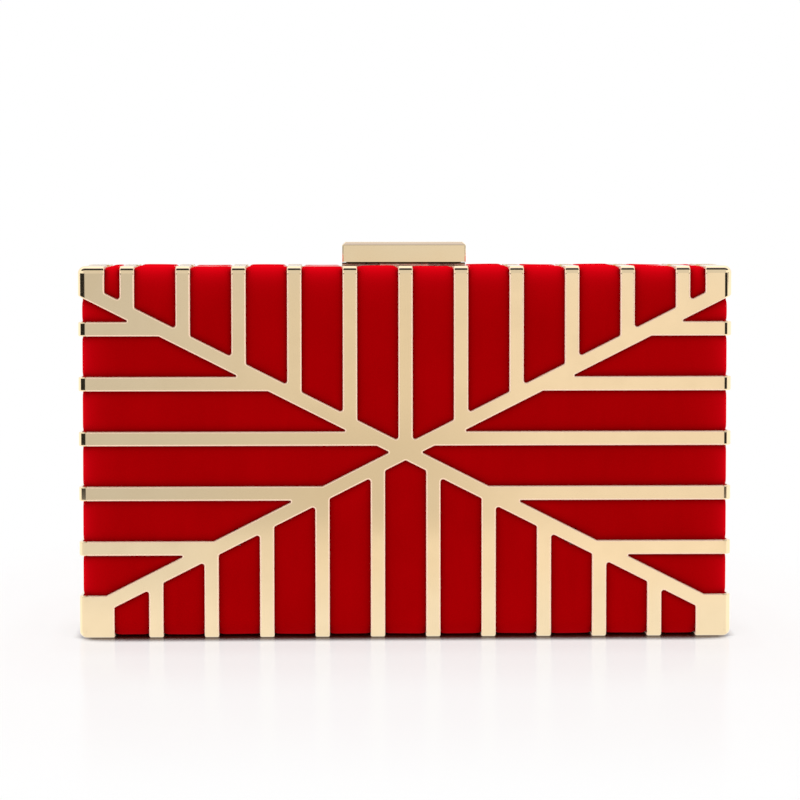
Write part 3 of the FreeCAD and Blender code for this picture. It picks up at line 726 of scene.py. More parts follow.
@dataclass(frozen=True)
class CagePattern:
    """Places of the cage's bars in the plane of the case's front."""

    case_width: float = 200.0
    case_height: float = 114.0
    bar_width: float = 4.4
    pitch_across: float = 17.0
    pitch_up: float = 16.8036
    slope: float = 0.50502
    row_shift: float = 0.25
    flange_width: float = 8.1
    block_width: float = 10.7
    block_height: float = 13.1
    top_bars: int = 5
    rows: int = 2

    @staticmethod
    def bar_distance(
        x: np.ndarray, z: np.ndarray, low: Pair, high: Pair
    ) -> np.ndarray:
        """Distance of points from a rectangle, below zero inside it.

        Outside it is the length of the overshoot past the sides; inside it is the
        larger of the two negative overshoots.

        Args:
            x, z: the points.
            low, high: the rectangle's corners.

        Returns:
            One distance for each point.
        """
        across = np.abs(x - (low[0] + high[0]) / 2) - (high[0] - low[0]) / 2
        up = np.abs(z - (low[1] + high[1]) / 2) - (high[1] - low[1]) / 2
        outside = np.hypot(np.maximum(across, 0.0), np.maximum(up, 0.0))
        return outside + np.minimum(np.maximum(across, up), 0.0)

    def rectangles(self) -> list[tuple[Pair, Pair]]:
        """List the upright and level bars and the corner plates.

        Each bar runs from the edge of the case to the middle of the diagonal that
        it meets.

        Returns:
            Low and high corner of each, in X and Z.
        """
        middle, half = self.case_height / 2, self.bar_width / 2
        reach = self.case_width / 2
        found = []
        for place in range(-self.top_bars, self.top_bars + 1):
            x = place * self.pitch_across
            foot = middle + self.slope * abs(x)
            found.append(((x - half, foot), (x + half, self.case_height)))
        for place in range(-self.top_bars, self.top_bars):
            x = (place + 0.5) * self.pitch_across
            head = middle - self.slope * abs(x)
            found.append(((x - half, 0.0), (x + half, head)))
        for place in range(-self.rows, self.rows + 1):
            z = middle + (place + self.row_shift) * self.pitch_up
            inner = abs(z - middle) / self.slope
            found.append(((-reach, z - half), (-inner, z + half)))
            found.append(((inner, z - half), (reach, z + half)))
        for side in (-1.0, 1.0):
            edges = sorted((side * reach, side * (reach - self.flange_width)))
            top = middle + self.slope * (reach - self.flange_width)
            found.append(((edges[0], top), (edges[1], self.case_height)))
            edges = sorted((side * reach, side * (reach - self.block_width)))
            found.append(((edges[0], 0.0), (edges[1], self.block_height)))
        return found

    def distance(self, x: np.ndarray, z: np.ndarray) -> np.ndarray:
        """Distance of points from the nearest bar, below zero under a bar.

        It is the least of the distances from every rectangle and from the two
        diagonals, each a strip of the bars' width through the middle of the case.

        Args:
            x, z: the points.

        Returns:
            One distance for each point.
        """
        lean = 1.0 / math.hypot(1.0, self.slope)
        rise = z - self.case_height / 2
        across = np.minimum(
            np.abs(rise - self.slope * x), np.abs(rise + self.slope * x)
        )
        nearest = across * lean - self.bar_width / 2
        for low, high in self.rectangles():
            nearest = np.minimum(nearest, self.bar_distance(x, z, low, high))
        return nearest


@dataclass
class SoftTray:
    """A soft layer in the shape of an open tray with rounded edges."""

    half: Half
    half_width: float
    low: float
    high: float
    face: float
    mouth: float
    radius: float
    step: float
    wall: float
    side: Side = Side.OUTER
    bend_steps: int = 6

    def stations(self, low: float, high: float) -> np.ndarray:
        """Positions along one side, closer together where the ends are rounded.

        Args:
            low, high: the ends of the side.

        Returns:
            The positions, in rising order.
        """
        count = max(2, round((high - low - 2 * self.radius) / self.step) + 1)
        lead = np.linspace(0.0, self.radius, self.bend_steps)[:-1]
        middle = np.linspace(low + self.radius, high - self.radius, count)
        return np.concatenate([low + lead, middle, high - lead[::-1]])

    def columns(self) -> np.ndarray:
        """Positions across the tray."""
        return self.stations(-self.half_width, self.half_width)

    def grid(self) -> tuple[np.ndarray, np.ndarray]:
        """Lay grids on the tray's five walls and merge their shared borders.

        Each wall is a plane over two of the box's three directions: width, height
        and depth from the mouth.

        Returns:
            Points on the sharp box, and quads whose normals point outwards.
        """
        across = self.columns()
        up = self.stations(self.low, self.high)
        count = max(2, round((self.face - self.mouth - self.radius) / self.step) + 1)
        flat = np.linspace(self.mouth, self.face - self.radius, count)
        bend = np.linspace(self.face - self.radius, self.face, self.bend_steps)[1:]
        depth = self.half.turn * np.concatenate([flat, bend])
        outer = self.half.turn * self.face
        walls = (
            (across, np.array([outer]), up, (0.0, self.half.turn, 0.0)),
            (across, depth, np.array([self.low]), (0.0, 0.0, -1.0)),
            (across, depth, np.array([self.high]), (0.0, 0.0, 1.0)),
            (np.array([-self.half_width]), depth, up, (-1.0, 0.0, 0.0)),
            (np.array([self.half_width]), depth, up, (1.0, 0.0, 0.0)),
        )
        points, quads, start = [], [], 0
        for x, y, z, outward in walls:
            mesh = np.stack(np.meshgrid(x, y, z, indexing="ij"), axis=-1)
            shape = [n for n in mesh.shape[:3] if n > 1]
            index = np.arange(mesh[..., 0].size).reshape(shape)
            wall = np.stack(
                [index[:-1, :-1], index[1:, :-1], index[1:, 1:], index[:-1, 1:]], -1
            ).reshape(-1, 4)
            rows = mesh.reshape(-1, 3)
            first = rows[wall[0]]
            normal = np.cross(first[1] - first[0], first[3] - first[0])
            if float(normal @ np.array(outward)) * self.side.value < 0.0:
                wall = wall[:, ::-1]
            points.append(rows)
            quads.append(wall + start)
            start += len(rows)
        merged, places = np.unique(
            np.round(np.concatenate(points), 6), axis=0, return_inverse=True
        )
        return merged, places.reshape(-1)[np.concatenate(quads)]

    def rounded(self, points: np.ndarray) -> tuple[np.ndarray, np.ndarray]:
        """Round the tray's edges.

        A point is drawn to the nearest point of a box that is smaller by the radius,
        and the rounded surface lies one radius from there in the same direction.

        Args:
            points: points on the sharp box.

        Returns:
            Points on the rounded box, and the outward direction at each.
        """
        turn, r = self.half.turn, self.radius
        core = points.copy()
        core[:, 0] = np.clip(points[:, 0], r - self.half_width, self.half_width - r)
        core[:, 2] = np.clip(points[:, 2], self.low + r, self.high - r)
        core[:, 1] = turn * np.minimum(turn * points[:, 1], self.face - r)
        away = points - core
        away /= np.linalg.norm(away, axis=1, keepdims=True)
        return core + r * away, away

    def lift(self, points: np.ndarray, away: np.ndarray) -> np.ndarray:
        """Height of the soft surface over the plain tray; a plain tray has none."""
        return np.zeros(len(points))

    def kept(self, points: np.ndarray, quads: np.ndarray) -> np.ndarray:
        """Mark the quads that stay; a plain tray keeps them all."""
        return np.ones(len(quads), dtype=bool)

    def mark(self, mesh: bpy.types.Mesh, points: np.ndarray) -> None:
        """Note on the mesh what its material reads; a plain tray notes nothing."""

    def piece(self, name: str) -> Piece:
        """Make the tray's mesh, closed with a wall of even thickness.

        Args:
            name: name of the piece.

        Returns:
            The new object, at the origin.
        """
        sharp, quads = self.grid()
        points, away = self.rounded(sharp)
        points = points + away * self.lift(points, away)[:, None]
        used, quads = np.unique(quads[self.kept(points, quads)], return_inverse=True)
        points, quads = points[used], quads.reshape(-1, 4)
        mesh = bpy.data.meshes.new(name)
        mesh.from_pydata((points * MM).tolist(), [], quads.tolist())
        mesh.shade_smooth()
        self.mark(mesh, points)
        made = new_object(name, mesh)
        wall = made.modifiers.new("wall", "SOLIDIFY")
        wall.thickness = self.wall * MM
        wall.offset = -1.0
        return made

    def flat_size(self) -> Pair:
        """Width and length of the cloth before it was folded up, in metres."""
        fold = 2 * (self.face - self.mouth)
        return (2 * self.half_width + fold) * MM, (self.high - self.low + fold) * MM

    def flat_area(self) -> float:
        """Area of the cross-shaped cut, the rectangle without its four corners."""
        width, length = self.flat_size()
        return width * length - 4 * ((self.face - self.mouth) * MM) ** 2


@dataclass
class PressedTray(SoftTray):
    """A padded layer that the bars of the cage press down and that swells between.

    Swell and draw are given for the ends, the large face, the top and the base. The
    draw is the distance from a bar in which the layer rises by about two thirds. A wave
    of the bed has its lengths across and up, and its height.
    """

    pattern: CagePattern = field(default_factory=CagePattern)
    swell: tuple[float, float, float, float] = (0.3, 0.85, 1.0, 0.5)
    draw: tuple[float, float, float, float] = (0.5, 1.0, 0.4, 0.5)
    unevenness: float = 0.12
    waves: tuple[Triple, Triple] = ((5.7, 40.0, 1.0), (23.0, -17.0, 0.5))
    beside_bar: Pair = (-0.12, 0.3)
    # Reach and strongest share of the painted shade beside the bars.
    bar_shade_reach: float = 0.9
    bar_shade_most: float = 0.75
    # Reach of the painted sheen round the edges.
    sheen_reach: float = 4.0
    boss_across: float = 51.0
    boss_hole: float = 2.4
    held_at_mouth: float = 5.1
    free_from_mouth: float = 6.8

    def columns(self) -> np.ndarray:
        """Positions across the tray, with one pair more at each edge of a top bar.

        Returns:
            The positions, in rising order.
        """
        plain = super().columns()
        top = [
            (low[0], high[0])
            for low, high in self.pattern.rectangles()
            if high[1] == self.pattern.case_height
        ]
        beside = [
            edge + outward * gap
            for pair in top
            for edge, outward in zip(pair, (-1.0, 1.0))
            for gap in self.beside_bar
            if abs(edge + outward * gap) < self.half_width - self.radius
        ]
        return np.unique(np.concatenate([plain, beside]))

    def walled(self, away: np.ndarray, values: tuple[float, ...]) -> np.ndarray:
        """Spread one value for each wall over the tray.

        The values are weighted by the squares of the outward direction's parts.

        Args:
            away: outward direction at each point.
            values: what holds on the ends, the large face, the top and the base.

        Returns:
            One value for each point.
        """
        ends, face, top, base = values
        upright = np.where(away[:, 2] > 0.0, top, base)
        share = away**2
        return ends * share[:, 0] + face * share[:, 1] + upright * share[:, 2]

    def lift(self, points: np.ndarray, away: np.ndarray) -> np.ndarray:
        """Height of a stretched cloth on a springy bed, held down by the bars.

        Beside a straight bar such a cloth rises to the bed's height times one minus the
        exponential of minus the distance over the draw. The bed has long low waves and
        fades out towards the rim.

        Args:
            points: points on the rounded tray.
            away: outward direction at each.

        Returns:
            One height for each point.
        """
        x, y, z = points.T
        wave = sum(tall * np.sin(x / wide + z / up) for wide, up, tall in self.waves)
        held = self.held_at_mouth
        free = np.clip((np.abs(y) - held) / (self.free_from_mouth - held), 0.0, 1.0)
        bed = self.walled(away, self.swell) * (1.0 + self.unevenness * wave)
        gap = np.maximum(self.pattern.distance(x, z), 0.0)
        rise = 1.0 - np.exp(-gap / self.walled(away, self.draw))
        return bed * rise * smooth_step(free)

    def kept(self, points: np.ndarray, quads: np.ndarray) -> np.ndarray:
        """Leave out the quads round the cage's five screw bosses, under the diagonals.

        Args:
            points: points of the tray.
            quads: corners of each quad.

        Returns:
            True for each quad that stays.
        """
        middle = points[quads].mean(axis=1)
        rise = self.pattern.slope * self.boss_across
        high = middle[:, 2] - self.pattern.case_height / 2
        outer = np.hypot(np.abs(middle[:, 0]) - self.boss_across, np.abs(high) - rise)
        near = np.minimum(np.hypot(middle[:, 0], high), outer)
        return near > self.boss_hole

    def mark(self, mesh: bpy.types.Mesh, points: np.ndarray) -> None:
        """Note the shares of painted shade beside the bars and of painted sheen round
        the edges.

        Both shares fall with the exponential of a distance: from the nearest bar, and
        from the nearer of the tray's ends and its top.

        Args:
            mesh: mesh of the tray.
            points: its points.
        """
        x, _, z = points.T
        bar = np.maximum(self.pattern.distance(x, z), 0.0)
        edge = np.maximum(np.minimum(self.half_width - np.abs(x), self.high - z), 0.0)
        for name, share in (
            (PAINTED_BAR_SHADE, self.bar_shade_most * np.exp(-bar / self.bar_shade_reach)),
            (PAINTED_SHEEN, np.exp(-edge / self.sheen_reach)),
        ):
            note = mesh.attributes.new(name, "FLOAT", "POINT")
            note.data.foreach_set("value", share.astype(np.float32))


@dataclass
class LiningTray(SoftTray):
    """The satin tray inside a half, with soft ripples on its large panel.

    A wave of the ripples has its lengths across and up, and its start.
    """

    ripple: float = 0.22
    waves: tuple[Triple, Triple] = ((8.5, 26.0, 0.0), (-31.0, 12.0, 0.8))
    margin: float = 14.0

    def lift(self, points: np.ndarray, away: np.ndarray) -> np.ndarray:
        """Height of the ripples: crossing waves, only inwards, still at the borders.

        Args:
            points: points on the rounded tray.
            away: outward direction at each.

        Returns:
            One height for each point, zero or below.
        """
        x, _, z = points.T
        total = sum(np.sin(x / wide + z / up + at) for wide, up, at in self.waves)
        share = 0.5 + total / (2 * len(self.waves))
        level = np.minimum(z - self.low, self.high - z)
        border = np.minimum(self.half_width - np.abs(x), level)
        calm = np.clip(border / self.margin, 0.0, 1.0)
        return -self.ripple * share * smooth_step(calm)


@dataclass
class SoftLayers:
    """The velvet, foam and satin of one half."""

    half: Half

    def velvet(self) -> PressedTray:
        """The pile cover, just under the cage."""
        return PressedTray(
            self.half, half_width=98.7, low=1.1, high=112.9, face=21.9, mouth=2.7,
            radius=4.2, step=1.0, wall=0.8,
        )

    def foam(self) -> PressedTray:
        """The foam under the cover, which swells a little less than it does."""
        return PressedTray(
            self.half, half_width=97.8, low=2.0, high=112.0, face=21.0, mouth=2.7,
            radius=3.3, step=1.6, wall=0.5, swell=(0.2, 0.7, 0.85, 0.4),
        )

    def satin(self) -> LiningTray:
        """The lining of the compartment, seen from inside."""
        return LiningTray(
            self.half, half_width=94.8, low=5.2, high=108.8, face=16.7, mouth=2.7,
            radius=1.6, step=1.5, wall=0.5, side=Side.INNER,
        )

    def build(self, finishes: Finishes) -> None:
        """Make, dress and place the three soft pieces of this half.

        Args:
            finishes: materials by the record's slot names.
        """
        name = self.half.value
        foam = self.foam().piece(f"{name}_foam_bed")
        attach(foam, self.half.body)
        settle(foam, "padding_foam", finishes, f"{name}_padding")

        for tray, title, slot, node, bed in (
            (self.velvet(), "velvet_cover", "red_velvet", "velvet", foam.name),
            (self.satin(), "satin_lining", "lining_satin", "lining", f"{name}_shell"),
        ):
            piece = tray.piece(f"{name}_{title}")
            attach(piece, self.half.body)
            settle(piece, slot, finishes, f"{name}_{node}")
            tray.flat_size()
            tray.flat_area()


def settle(piece: Piece, slot: str, finishes: Finishes, node: str) -> None:
    """Dress a new piece and let it stand for its CAD node.

    Args:
        piece: the new piece.
        slot: the record's material slot.
        finishes: materials by slot name.
        node: CAD node that it stands for.
    """
    piece.data.materials.append(finishes[slot])
    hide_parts(node)
    log.info("%s: %d faces, stands for %s", piece.name, len(piece.data.polygons), node)


@dataclass(frozen=True)
class TorsionSpring:
    """The spring on the clasp's pivot, which winds up as the clasp is pushed back.

    Its upper leg stands under the hook bracket and its lower leg lies on the base.
    """

    pivot: Pair = (2.8, 116.8)
    coil_radius: float = 0.95
    wire_radius: float = 0.2
    pitch: float = 0.55
    turns: float = 4.25
    upper_leg: float = 2.56
    lower_leg: float = 2.0
    held: float = 0.25
    turn_steps: int = 32
    ring_steps: int = 12
    sharp_angle: float = 40.0

    def reach(self) -> float:
        """Half the length of the coil along the pivot."""
        return self.pitch * self.turns / 2

    def path(self) -> tuple[np.ndarray, np.ndarray, np.ndarray]:
        """Follow the wire: a helix round the pivot with a straight leg at each end.

        The helix moves along X by the pitch in each turn, and goes from behind the
        pivot to below it. A leg runs on along the helix's tangent.

        Returns:
            Points, the wire's direction and the direction away from the pivot at each.
        """
        count = round(self.turns * self.turn_steps) + 1
        turned = np.linspace(0.0, 2 * np.pi * self.turns, count)
        away = np.stack([0.0 * turned, np.cos(turned), -np.sin(turned)], axis=1)
        along = np.stack([0.0 * turned, -np.sin(turned), -np.cos(turned)], axis=1)
        along[:, 0] = self.pitch / (2 * np.pi * self.coil_radius)
        along /= np.linalg.norm(along, axis=1, keepdims=True)
        points = self.coil_radius * away + np.array([0.0, *self.pivot])
        points[:, 0] += self.pitch * turned / (2 * np.pi) - self.reach()
        top = points[0] - self.upper_leg * along[0]
        foot = points[-1] + self.lower_leg * along[-1]
        ends = [0, *range(count), count - 1]
        return np.vstack([top, points, foot]), along[ends], away[ends]

    def piece(self, name: str) -> Piece:
        """Make the wire: round rings about the path, joined by quads and closed.

        A ring's point lies one wire radius from the path, turned from the direction
        away from the pivot towards the one across it and the wire.

        Args:
            name: name of the piece.

        Returns:
            The new object, at the origin.
        """
        points, along, away = self.path()
        across = np.cross(along, away)
        turned = np.linspace(0.0, 2 * np.pi, self.ring_steps, endpoint=False)[:, None]
        offset = np.cos(turned) * away[:, None] + np.sin(turned) * across[:, None]
        rings = points[:, None] + self.wire_radius * offset
        index = np.arange(rings[..., 0].size).reshape(rings.shape[:2])
        beside = np.roll(index, -1, axis=1)
        quads = np.stack([index[:-1], beside[:-1], beside[1:], index[1:]], axis=-1)
        faces = quads.reshape(-1, 4).tolist()
        faces += [index[0, ::-1].tolist(), index[-1].tolist()]
        mesh = bpy.data.meshes.new(name)
        mesh.from_pydata((rings.reshape(-1, 3) * MM).tolist(), [], faces)
        mesh.shade_smooth()
        mesh.set_sharp_from_angle(angle=math.radians(self.sharp_angle))
        return new_object(name, mesh)

    def build(self, finishes: Finishes) -> None:
        """Make the spring, fix its mesh in place and let it stand for the clasp's
        spring node.

        Args:
            finishes: materials by slot name.
        """
        spring = self.piece("clasp_torsion_spring")
        end = self.reach() - self.held
        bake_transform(spring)
        settle(spring, "spring_steel", finishes, "clasp_spring")


@dataclass(frozen=True)
class HardParts:
    """The rigid CAD nodes, each with the finish of its slot or one of its own."""

    eased: tuple[str, ...] = ("clasp_bar",)
    eased_radius: float = 0.3
    eased_steps: int = 3
    eased_angle: float = 25.0
    weld_gap: float = 0.001
    # Cages whose bars' edges get a painted highlight.
    highlit_edges: tuple[str, ...] = ("front_cage", "back_cage")
    # The clasp's works, painted dark as shade.
    shaded_works: tuple[str, ...] = tuple(
        f"clasp_{part}{suffix}"
        for part in ("base", "hook", "strike")
        for suffix in ("", "_rivets")
    )

    def ease(self, node: Piece) -> None:
        """Round the sharp edges of a CAD node a little, for the light to catch.

        Args:
            node: the CAD node.
        """
        weld = node.modifiers.new("joined", "WELD")
        weld.merge_threshold = self.weld_gap * MM
        round_off = node.modifiers.new("eased", "BEVEL")
        round_off.width = self.eased_radius * MM
        round_off.segments = self.eased_steps
        round_off.limit_method = "ANGLE"
        round_off.angle_limit = math.radians(self.eased_angle)
        round_off.harden_normals = True

    def dress(self, finishes: Finishes) -> None:
        """Give every shown CAD node its finish.

        Args:
            finishes: materials by slot name.
        """
        rows = frame["record"]["subparts"]
        slots = {row["node"]: row["material_slot"] for row in rows}
        own = {**dict.fromkeys(self.shaded_works, "shaded_works"), **dict.fromkeys(self.highlit_edges, "highlit_edges")}
        for name, node in sorted(frame["nodes"].items()):
            if node.hide_render:
                continue
            finish = finishes[own.get(name, slots[name])]
            node.data.materials.clear()
            node.data.materials.append(finish)
            if name in self.eased:
                self.ease(node)
            log.info("%s: %s", name, finish.name)


@dataclass(frozen=True)
class StudioTent:
    """A white light tent with dark gaps, which the polished metal mirrors.

    Soft surfaces get an even light from it that is stronger from above. Mirrors see one
    ring of it near the horizon, one above that, and an arc over the top. The rings go
    by the angle from straight in front, negative to the left, and the arc by the angle
    from the front horizon. Each stop has its angle in degrees and its level.
    """

    low_ring: Stops = (
        (-180.0, 1.0), (-96.0, 1.2), (-86.0, 0.02), (-18.0, 0.02), (-11.0, 0.6),
        (-3.5, 0.62), (-1.5, 0.78), (2.0, 0.8), (4.5, 0.95), (11.0, 0.95),
        (18.0, 0.02), (70.0, 0.02), (80.0, 1.2), (180.0, 1.0),
    )
    high_ring: Stops = (
        (-180.0, 1.0), (-96.0, 1.2), (-40.0, 1.2), (-15.0, 0.79),
        (15.0, 0.79), (40.0, 1.2), (96.0, 1.2), (180.0, 1.0),
    )
    arc: Stops = (
        (0.0, 0.79), (50.0, 0.79), (54.0, 0.02), (83.0, 0.02),
        (86.0, (0.78, 0.79, 0.97)), (94.0, (0.78, 0.79, 0.97)),
        (102.0, 1.4), (125.0, 1.4), (145.0, 1.1), (180.0, 1.0),
    )
    high_from: Pair = (0.06, 0.14)
    below: Colour = (0.9, 0.9, 0.9)
    below_from: Pair = (-0.1, -0.05)
    arc_from: Pair = (0.58, 0.64)
    soft_light: Pair = (0.75, 1.8)

    @staticmethod
    def turned(board: NodeBoard, across: Socket, ahead: Socket) -> Socket:
        """Angle in degrees from straight ahead to a direction, growing across it."""
        return board.maths("DEGREES", board.maths("ARCTAN2", across, ahead))

    @staticmethod
    def levels(board: NodeBoard, measure: Socket, stops: Stops) -> Socket:
        """Add levels by an angle or another measure.

        Args:
            board: nodes of the world or of the floor.
            measure: socket with the measure.
            stops: measure and level of each stop, in rising order.

        Returns:
            The level as a colour.
        """
        first, last = stops[0][0], stops[-1][0]
        shares = tuple(((at - first) / (last - first), level) for at, level in stops)
        return board.ramp(board.span(measure, (first, last)), shares)

    def mirrored(self, board: NodeBoard) -> Socket:
        """Add what mirrors see of the tent, by the direction in which they look.

        Args:
            board: nodes of the world.

        Returns:
            The level as a colour.
        """
        way = board.split(board.add("ShaderNodeTexCoord").outputs["Generated"])
        ahead = board.times(way["Y"], -1.0)
        round_about = self.turned(board, way["X"], ahead)
        rise = self.turned(board, way["Z"], ahead)
        level = self.below
        for angle, stops, start in (
            (round_about, self.low_ring, self.below_from),
            (round_about, self.high_ring, self.high_from),
            (rise, self.arc, self.arc_from),
        ):
            share = board.span(way["Z"], start)
            level = board.mixed(share, level, self.levels(board, angle, stops))
        return level

    def build(self) -> None:
        """Make the world: even for soft light, a tent for mirrors, white when seen."""
        world = bpy.data.worlds.new("studio_tent")
        bpy.context.scene.world = world
        world.use_nodes = True
        board = NodeBoard(world.node_tree)
        way = board.split(board.add("ShaderNodeTexCoord").outputs["Generated"])
        even = board.add(
            "ShaderNodeBackground",
            Color=WHITE,
            Strength=board.span(way["Z"], RISING, self.soft_light),
        )
        tent = board.add("ShaderNodeBackground", Color=self.mirrored(board))
        white = board.add("ShaderNodeBackground", Color=WHITE)
        camera, mirror = board.rays()
        seen = board.blend(camera, board.blend(mirror, even, tent), white)
        board.close(seen, "ShaderNodeOutputWorld")
        log.info("tent lit")


@dataclass(frozen=True)
class StudioFloor:
    """A white sheet under the case, which lets most of the white behind through.

    It keeps a shadow, darkest under the case, and a faint blurred mirror image, and
    runs out into white. Mirrors see it light in front of the case, by the angle at the
    eye's mirror image behind the case: cooler and dimmer to the left, and warmer and
    brighter to the right. They see it dark under the case and aside from it.
    """

    tent: StudioTent
    reach: float = 6.0
    case: Pair = (0.1, 0.023)
    # Pink paper colour: a painted reflection of the red velvet, where the sheet shows
    # near the case.
    shade: Colour = (0.86, 0.63, 0.58)
    # Dark colour under and next to the case: a painted contact shadow.
    foot: Colour = (0.05, 0.014, 0.009)
    foot_share: Pair = (0.1, 0.6)
    foot_mirror: float = 0.2
    grain: float = 60.0
    grain_tone: float = 0.985
    contact_reach: float = 0.016
    contact_ends: Pair = (-0.004, 0.003)
    contact_aside: float = 0.22
    contact: Stops = (
        (0.5, 1.0), (0.68, 0.85), (0.76, 0.6), (0.84, 0.3), (0.95, 0.06), (1.0, 0.0),
    )
    dim_reach: Pair = (-0.006, 0.0)
    bounce: float = 1.02
    bounce_under: float = 0.05
    mirror_share: float = 0.6
    mirror_blur: float = 0.17
    body: Stops = ((0.0, 0.27), (0.016, 0.27), (0.05, 0.2), (0.13, 0.11), (0.3, 0.0))
    beside: float = 4.0
    image_eye: Pair = (-0.026, 0.977)
    image_angles: Triple = (-4.0, 1.0, 4.5)
    image_tints: tuple[Colour, Colour, Colour] = (
        (0.98, 1.0, 1.03),
        (1.0, 0.95, 0.87),
        (1.0, 0.95, 0.9),
    )
    image_levels: tuple[Triple, ...] = (
        (0.86, 0.96, 1.03),
        (0.66, 0.74, 0.95),
        (0.69, 0.84, 0.98),
    )
    image_foot: Colour = (1.0, 1.0, 1.0)
    image_dark: Colour = (0.02, 0.02, 0.02)
    image_white: Colour = (1.2, 1.2, 1.2)
    bands: tuple[Pair, ...] = ((0.05, 0.2), (0.28, 0.4), (0.9, 1.2))
    under_case: Pair = (-0.0024, -0.0014)
    dark_aside: Pair = (8.0, 15.0)
    dark_from: Pair = (0.4, 0.5)
    white_left: Pair = (78.0, 86.0)
    white_right: Pair = (46.0, 54.0)

    def image(self, board: NodeBoard, x: Socket, y: Socket) -> Socket:
        """Add what mirrors see of the floor, by its place.

        Aside from the case it goes dark and then white by the angle at the nearer front
        corner, except close to that corner.

        Args:
            board: the floor's nodes.
            x, y: the place on the floor.

        Returns:
            The level as a colour.
        """
        past = board.past(x, self.case[0])
        ahead = board.maths("SUBTRACT", board.times(y, -1.0), self.case[1])
        angle = self.tent.turned(
            board,
            board.maths("SUBTRACT", x, self.image_eye[0]),
            board.maths("SUBTRACT", self.image_eye[1], y),
        )
        level = self.image_foot
        for band, lights in zip(self.bands, self.image_levels):
            colours = [
                tuple(light * part for part in tint)
                for light, tint in zip(lights, self.image_tints)
            ]
            stops = tuple(zip(self.image_angles, colours))
            further = self.tent.levels(board, angle, stops)
            level = board.mixed(board.span(ahead, band), level, further)
        corner = board.length(past, ahead)
        aside = self.tent.turned(board, past, ahead)
        gone = board.times(
            board.span(aside, self.dark_aside), board.span(corner, self.dark_from)
        )
        level = board.mixed(gone, level, self.image_dark)
        right = board.maths("GREATER_THAN", x, 0.0)
        left = board.maths("SUBTRACT", 1.0, right)
        back = board.maths(
            "ADD",
            board.times(board.span(aside, self.white_right), right),
            board.times(board.span(aside, self.white_left), left),
        )
        level = board.mixed(back, level, self.image_white)
        outside = board.span(self.gap(board, x, y), self.under_case)
        return board.mixed(outside, self.image_dark, level)

    def gap(self, board: NodeBoard, x: Socket, y: Socket) -> Socket:
        """How far a place lies outside the case's outline, below zero within it.

        The part past an end of the case is counted several times.

        Args:
            board: the floor's nodes.
            x, y: the place on the floor.

        Returns:
            The distance in metres.
        """
        across = board.past(x, self.case[0])
        along = board.past(y, self.case[1])
        past = board.times(board.maths("MAXIMUM", across, 0.0), self.beside)
        outside = board.length(past, board.maths("MAXIMUM", along, 0.0))
        inside = board.maths("MINIMUM", board.maths("MAXIMUM", across, along), 0.0)
        return board.maths("ADD", outside, inside)

    def material(self) -> Material:
        """Build the floor out of what the camera, mirrors and soft light meet there.

        Returns:
            The material.
        """
        material, board = new_material("studio_floor")
        place = board.place()
        x, y, _ = board.split(place)
        camera, mirror = board.rays()
        under = board.add("ShaderNodeNewGeometry").outputs["Backfacing"]
        gap = self.gap(board, x, y)

        low = tuple(self.grain_tone * part for part in self.shade)
        tone = board.mixed(board.noise(place, self.grain), low, self.shade)
        sky = board.add("ShaderNodeAmbientOcclusion", Distance=self.contact_reach)
        past = board.past(x, self.case[0])
        contact = board.times(
            self.tent.levels(board, sky.outputs["AO"], self.contact),
            board.span(past, self.contact_ends, (1.0, self.contact_aside)),
        )
        # The paper goes to the dark foot colour where the floor is occluded: a painted
        # contact shadow.
        foot = board.span(contact, self.foot_share)
        paper = board.mixed(foot, tone, self.foot)
        matt = board.add("ShaderNodeBsdfDiffuse", Color=paper)
        gloss = board.add("ShaderNodeBsdfGlossy", Roughness=self.mirror_blur)
        shine = board.span(foot, RISING, (self.mirror_share, self.foot_mirror))
        sheet = board.blend(shine, matt, gloss)

        image = board.add("ShaderNodeEmission", Color=self.image(board, x, y))
        strength = board.span(gap, self.dim_reach, (self.bounce_under, self.bounce))
        bounce = board.add("ShaderNodeEmission", Color=WHITE, Strength=strength)
        above = board.blend(mirror, bounce, image)
        glow = board.add("ShaderNodeEmission", Strength=self.bounce)
        lit = board.blend(under, above, glow)

        clear = board.add("ShaderNodeBsdfTransparent")
        near = board.maths("MAXIMUM", self.tent.levels(board, gap, self.body), contact)
        board.close(board.blend(camera, lit, board.blend(near, clear, sheet)))
        return material

    def build(self) -> None:
        """Lay a square floor under the object."""
        r = self.reach
        corners = [(-r, -r, 0.0), (r, -r, 0.0), (r, r, 0.0), (-r, r, 0.0)]
        mesh = bpy.data.meshes.new("studio_floor")
        mesh.from_pydata(corners, [], [(0, 1, 2, 3)])
        mesh.materials.append(self.material())
        floor = new_object("studio_floor", mesh)
        log.info("floor laid")


@dataclass(frozen=True)
class StudioCamera:
    """A long lens in front of the case, a little above it."""

    place: Triple = (-0.0258, -1.0227, 0.1307)
    yaw: float = 1.38
    pitch: float = 3.30
    roll: float = -0.04
    focal_pixels: float = 3274.0
    image_pixels: float = 800.0
    sensor: float = 36.0

    def build(self) -> None:
        """Set the camera: along +Y, turned right by yaw, down by pitch, then rolled."""
        yaw, pitch, roll = (math.radians(a) for a in (self.yaw, self.pitch, self.roll))
        across, along = math.sin(yaw) * math.cos(pitch), math.cos(yaw) * math.cos(pitch)
        ahead = Vector((across, along, -math.sin(pitch)))
        level = Vector((math.cos(yaw), -math.sin(yaw), 0.0))
        upright = level.cross(ahead)
        right = level * math.cos(roll) + upright * math.sin(roll)
        up = right.cross(ahead)
        data = bpy.data.cameras.new("studio_camera")
        data.sensor_width = self.sensor
        data.lens = self.focal_pixels / self.image_pixels * self.sensor
        camera = new_object("studio_camera", data)
        turn = Matrix((right, up, -ahead)).transposed().to_4x4()
        camera.matrix_world = Matrix.Translation(Vector(self.place)) @ turn
        bpy.context.scene.camera = camera
        log.info("camera set")


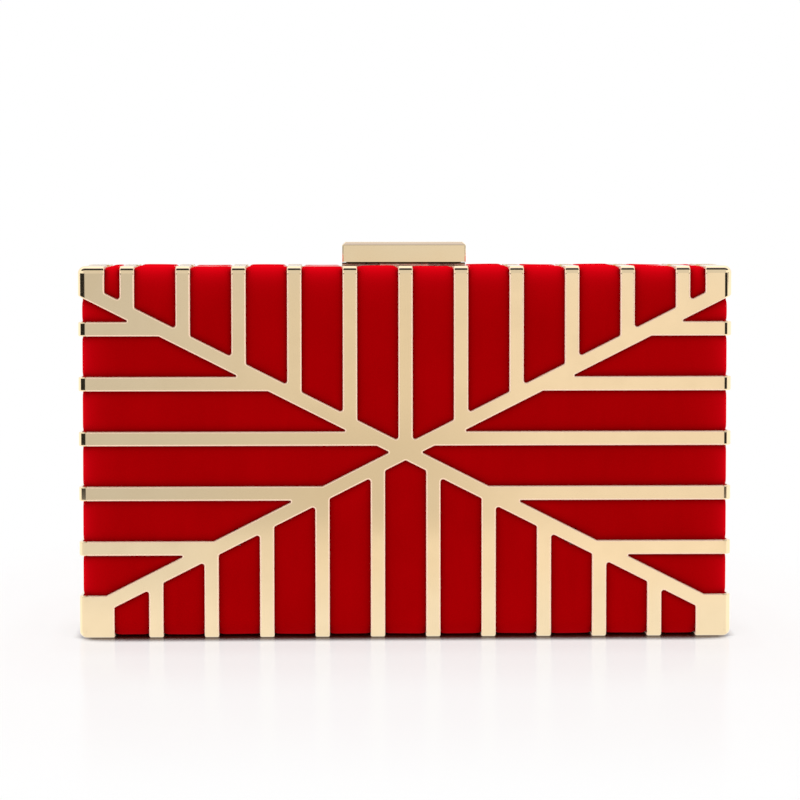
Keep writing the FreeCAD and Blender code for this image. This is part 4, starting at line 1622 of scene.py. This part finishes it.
def main() -> None:
    """Build the studio, the soft layers and the finishes."""
    logging.basicConfig(level=logging.INFO, format="%(message)s")
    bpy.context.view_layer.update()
    bpy.context.scene.view_settings.view_transform = "Standard"
    StudioCamera().build()
    tent = StudioTent()
    tent.build()
    StudioFloor(tent).build()
    finishes = {
        "champagne_metal": GOLD.material(),
        # Cage metal with a painted highlight on the bars' edges.
        "highlit_edges": CAGE_GOLD.material(),
        # Clasp works painted dark as shade, with a pale painted reflection at the foot.
        "shaded_works": CLASP_SHADE_METAL.material(),
        "spring_steel": STEEL.material(),
        "red_velvet": PileVelvet().material(),
        "padding_foam": OpenFoam().material(),
        "shell_plastic": MouldedPlastic().material(),
        "lining_satin": WovenSatin().material(),
    }
    for half in Half:
        SoftLayers(half).build(finishes)
    TorsionSpring().build(finishes)
    HardParts().dress(finishes)


if __name__ == "__main__":
    main()
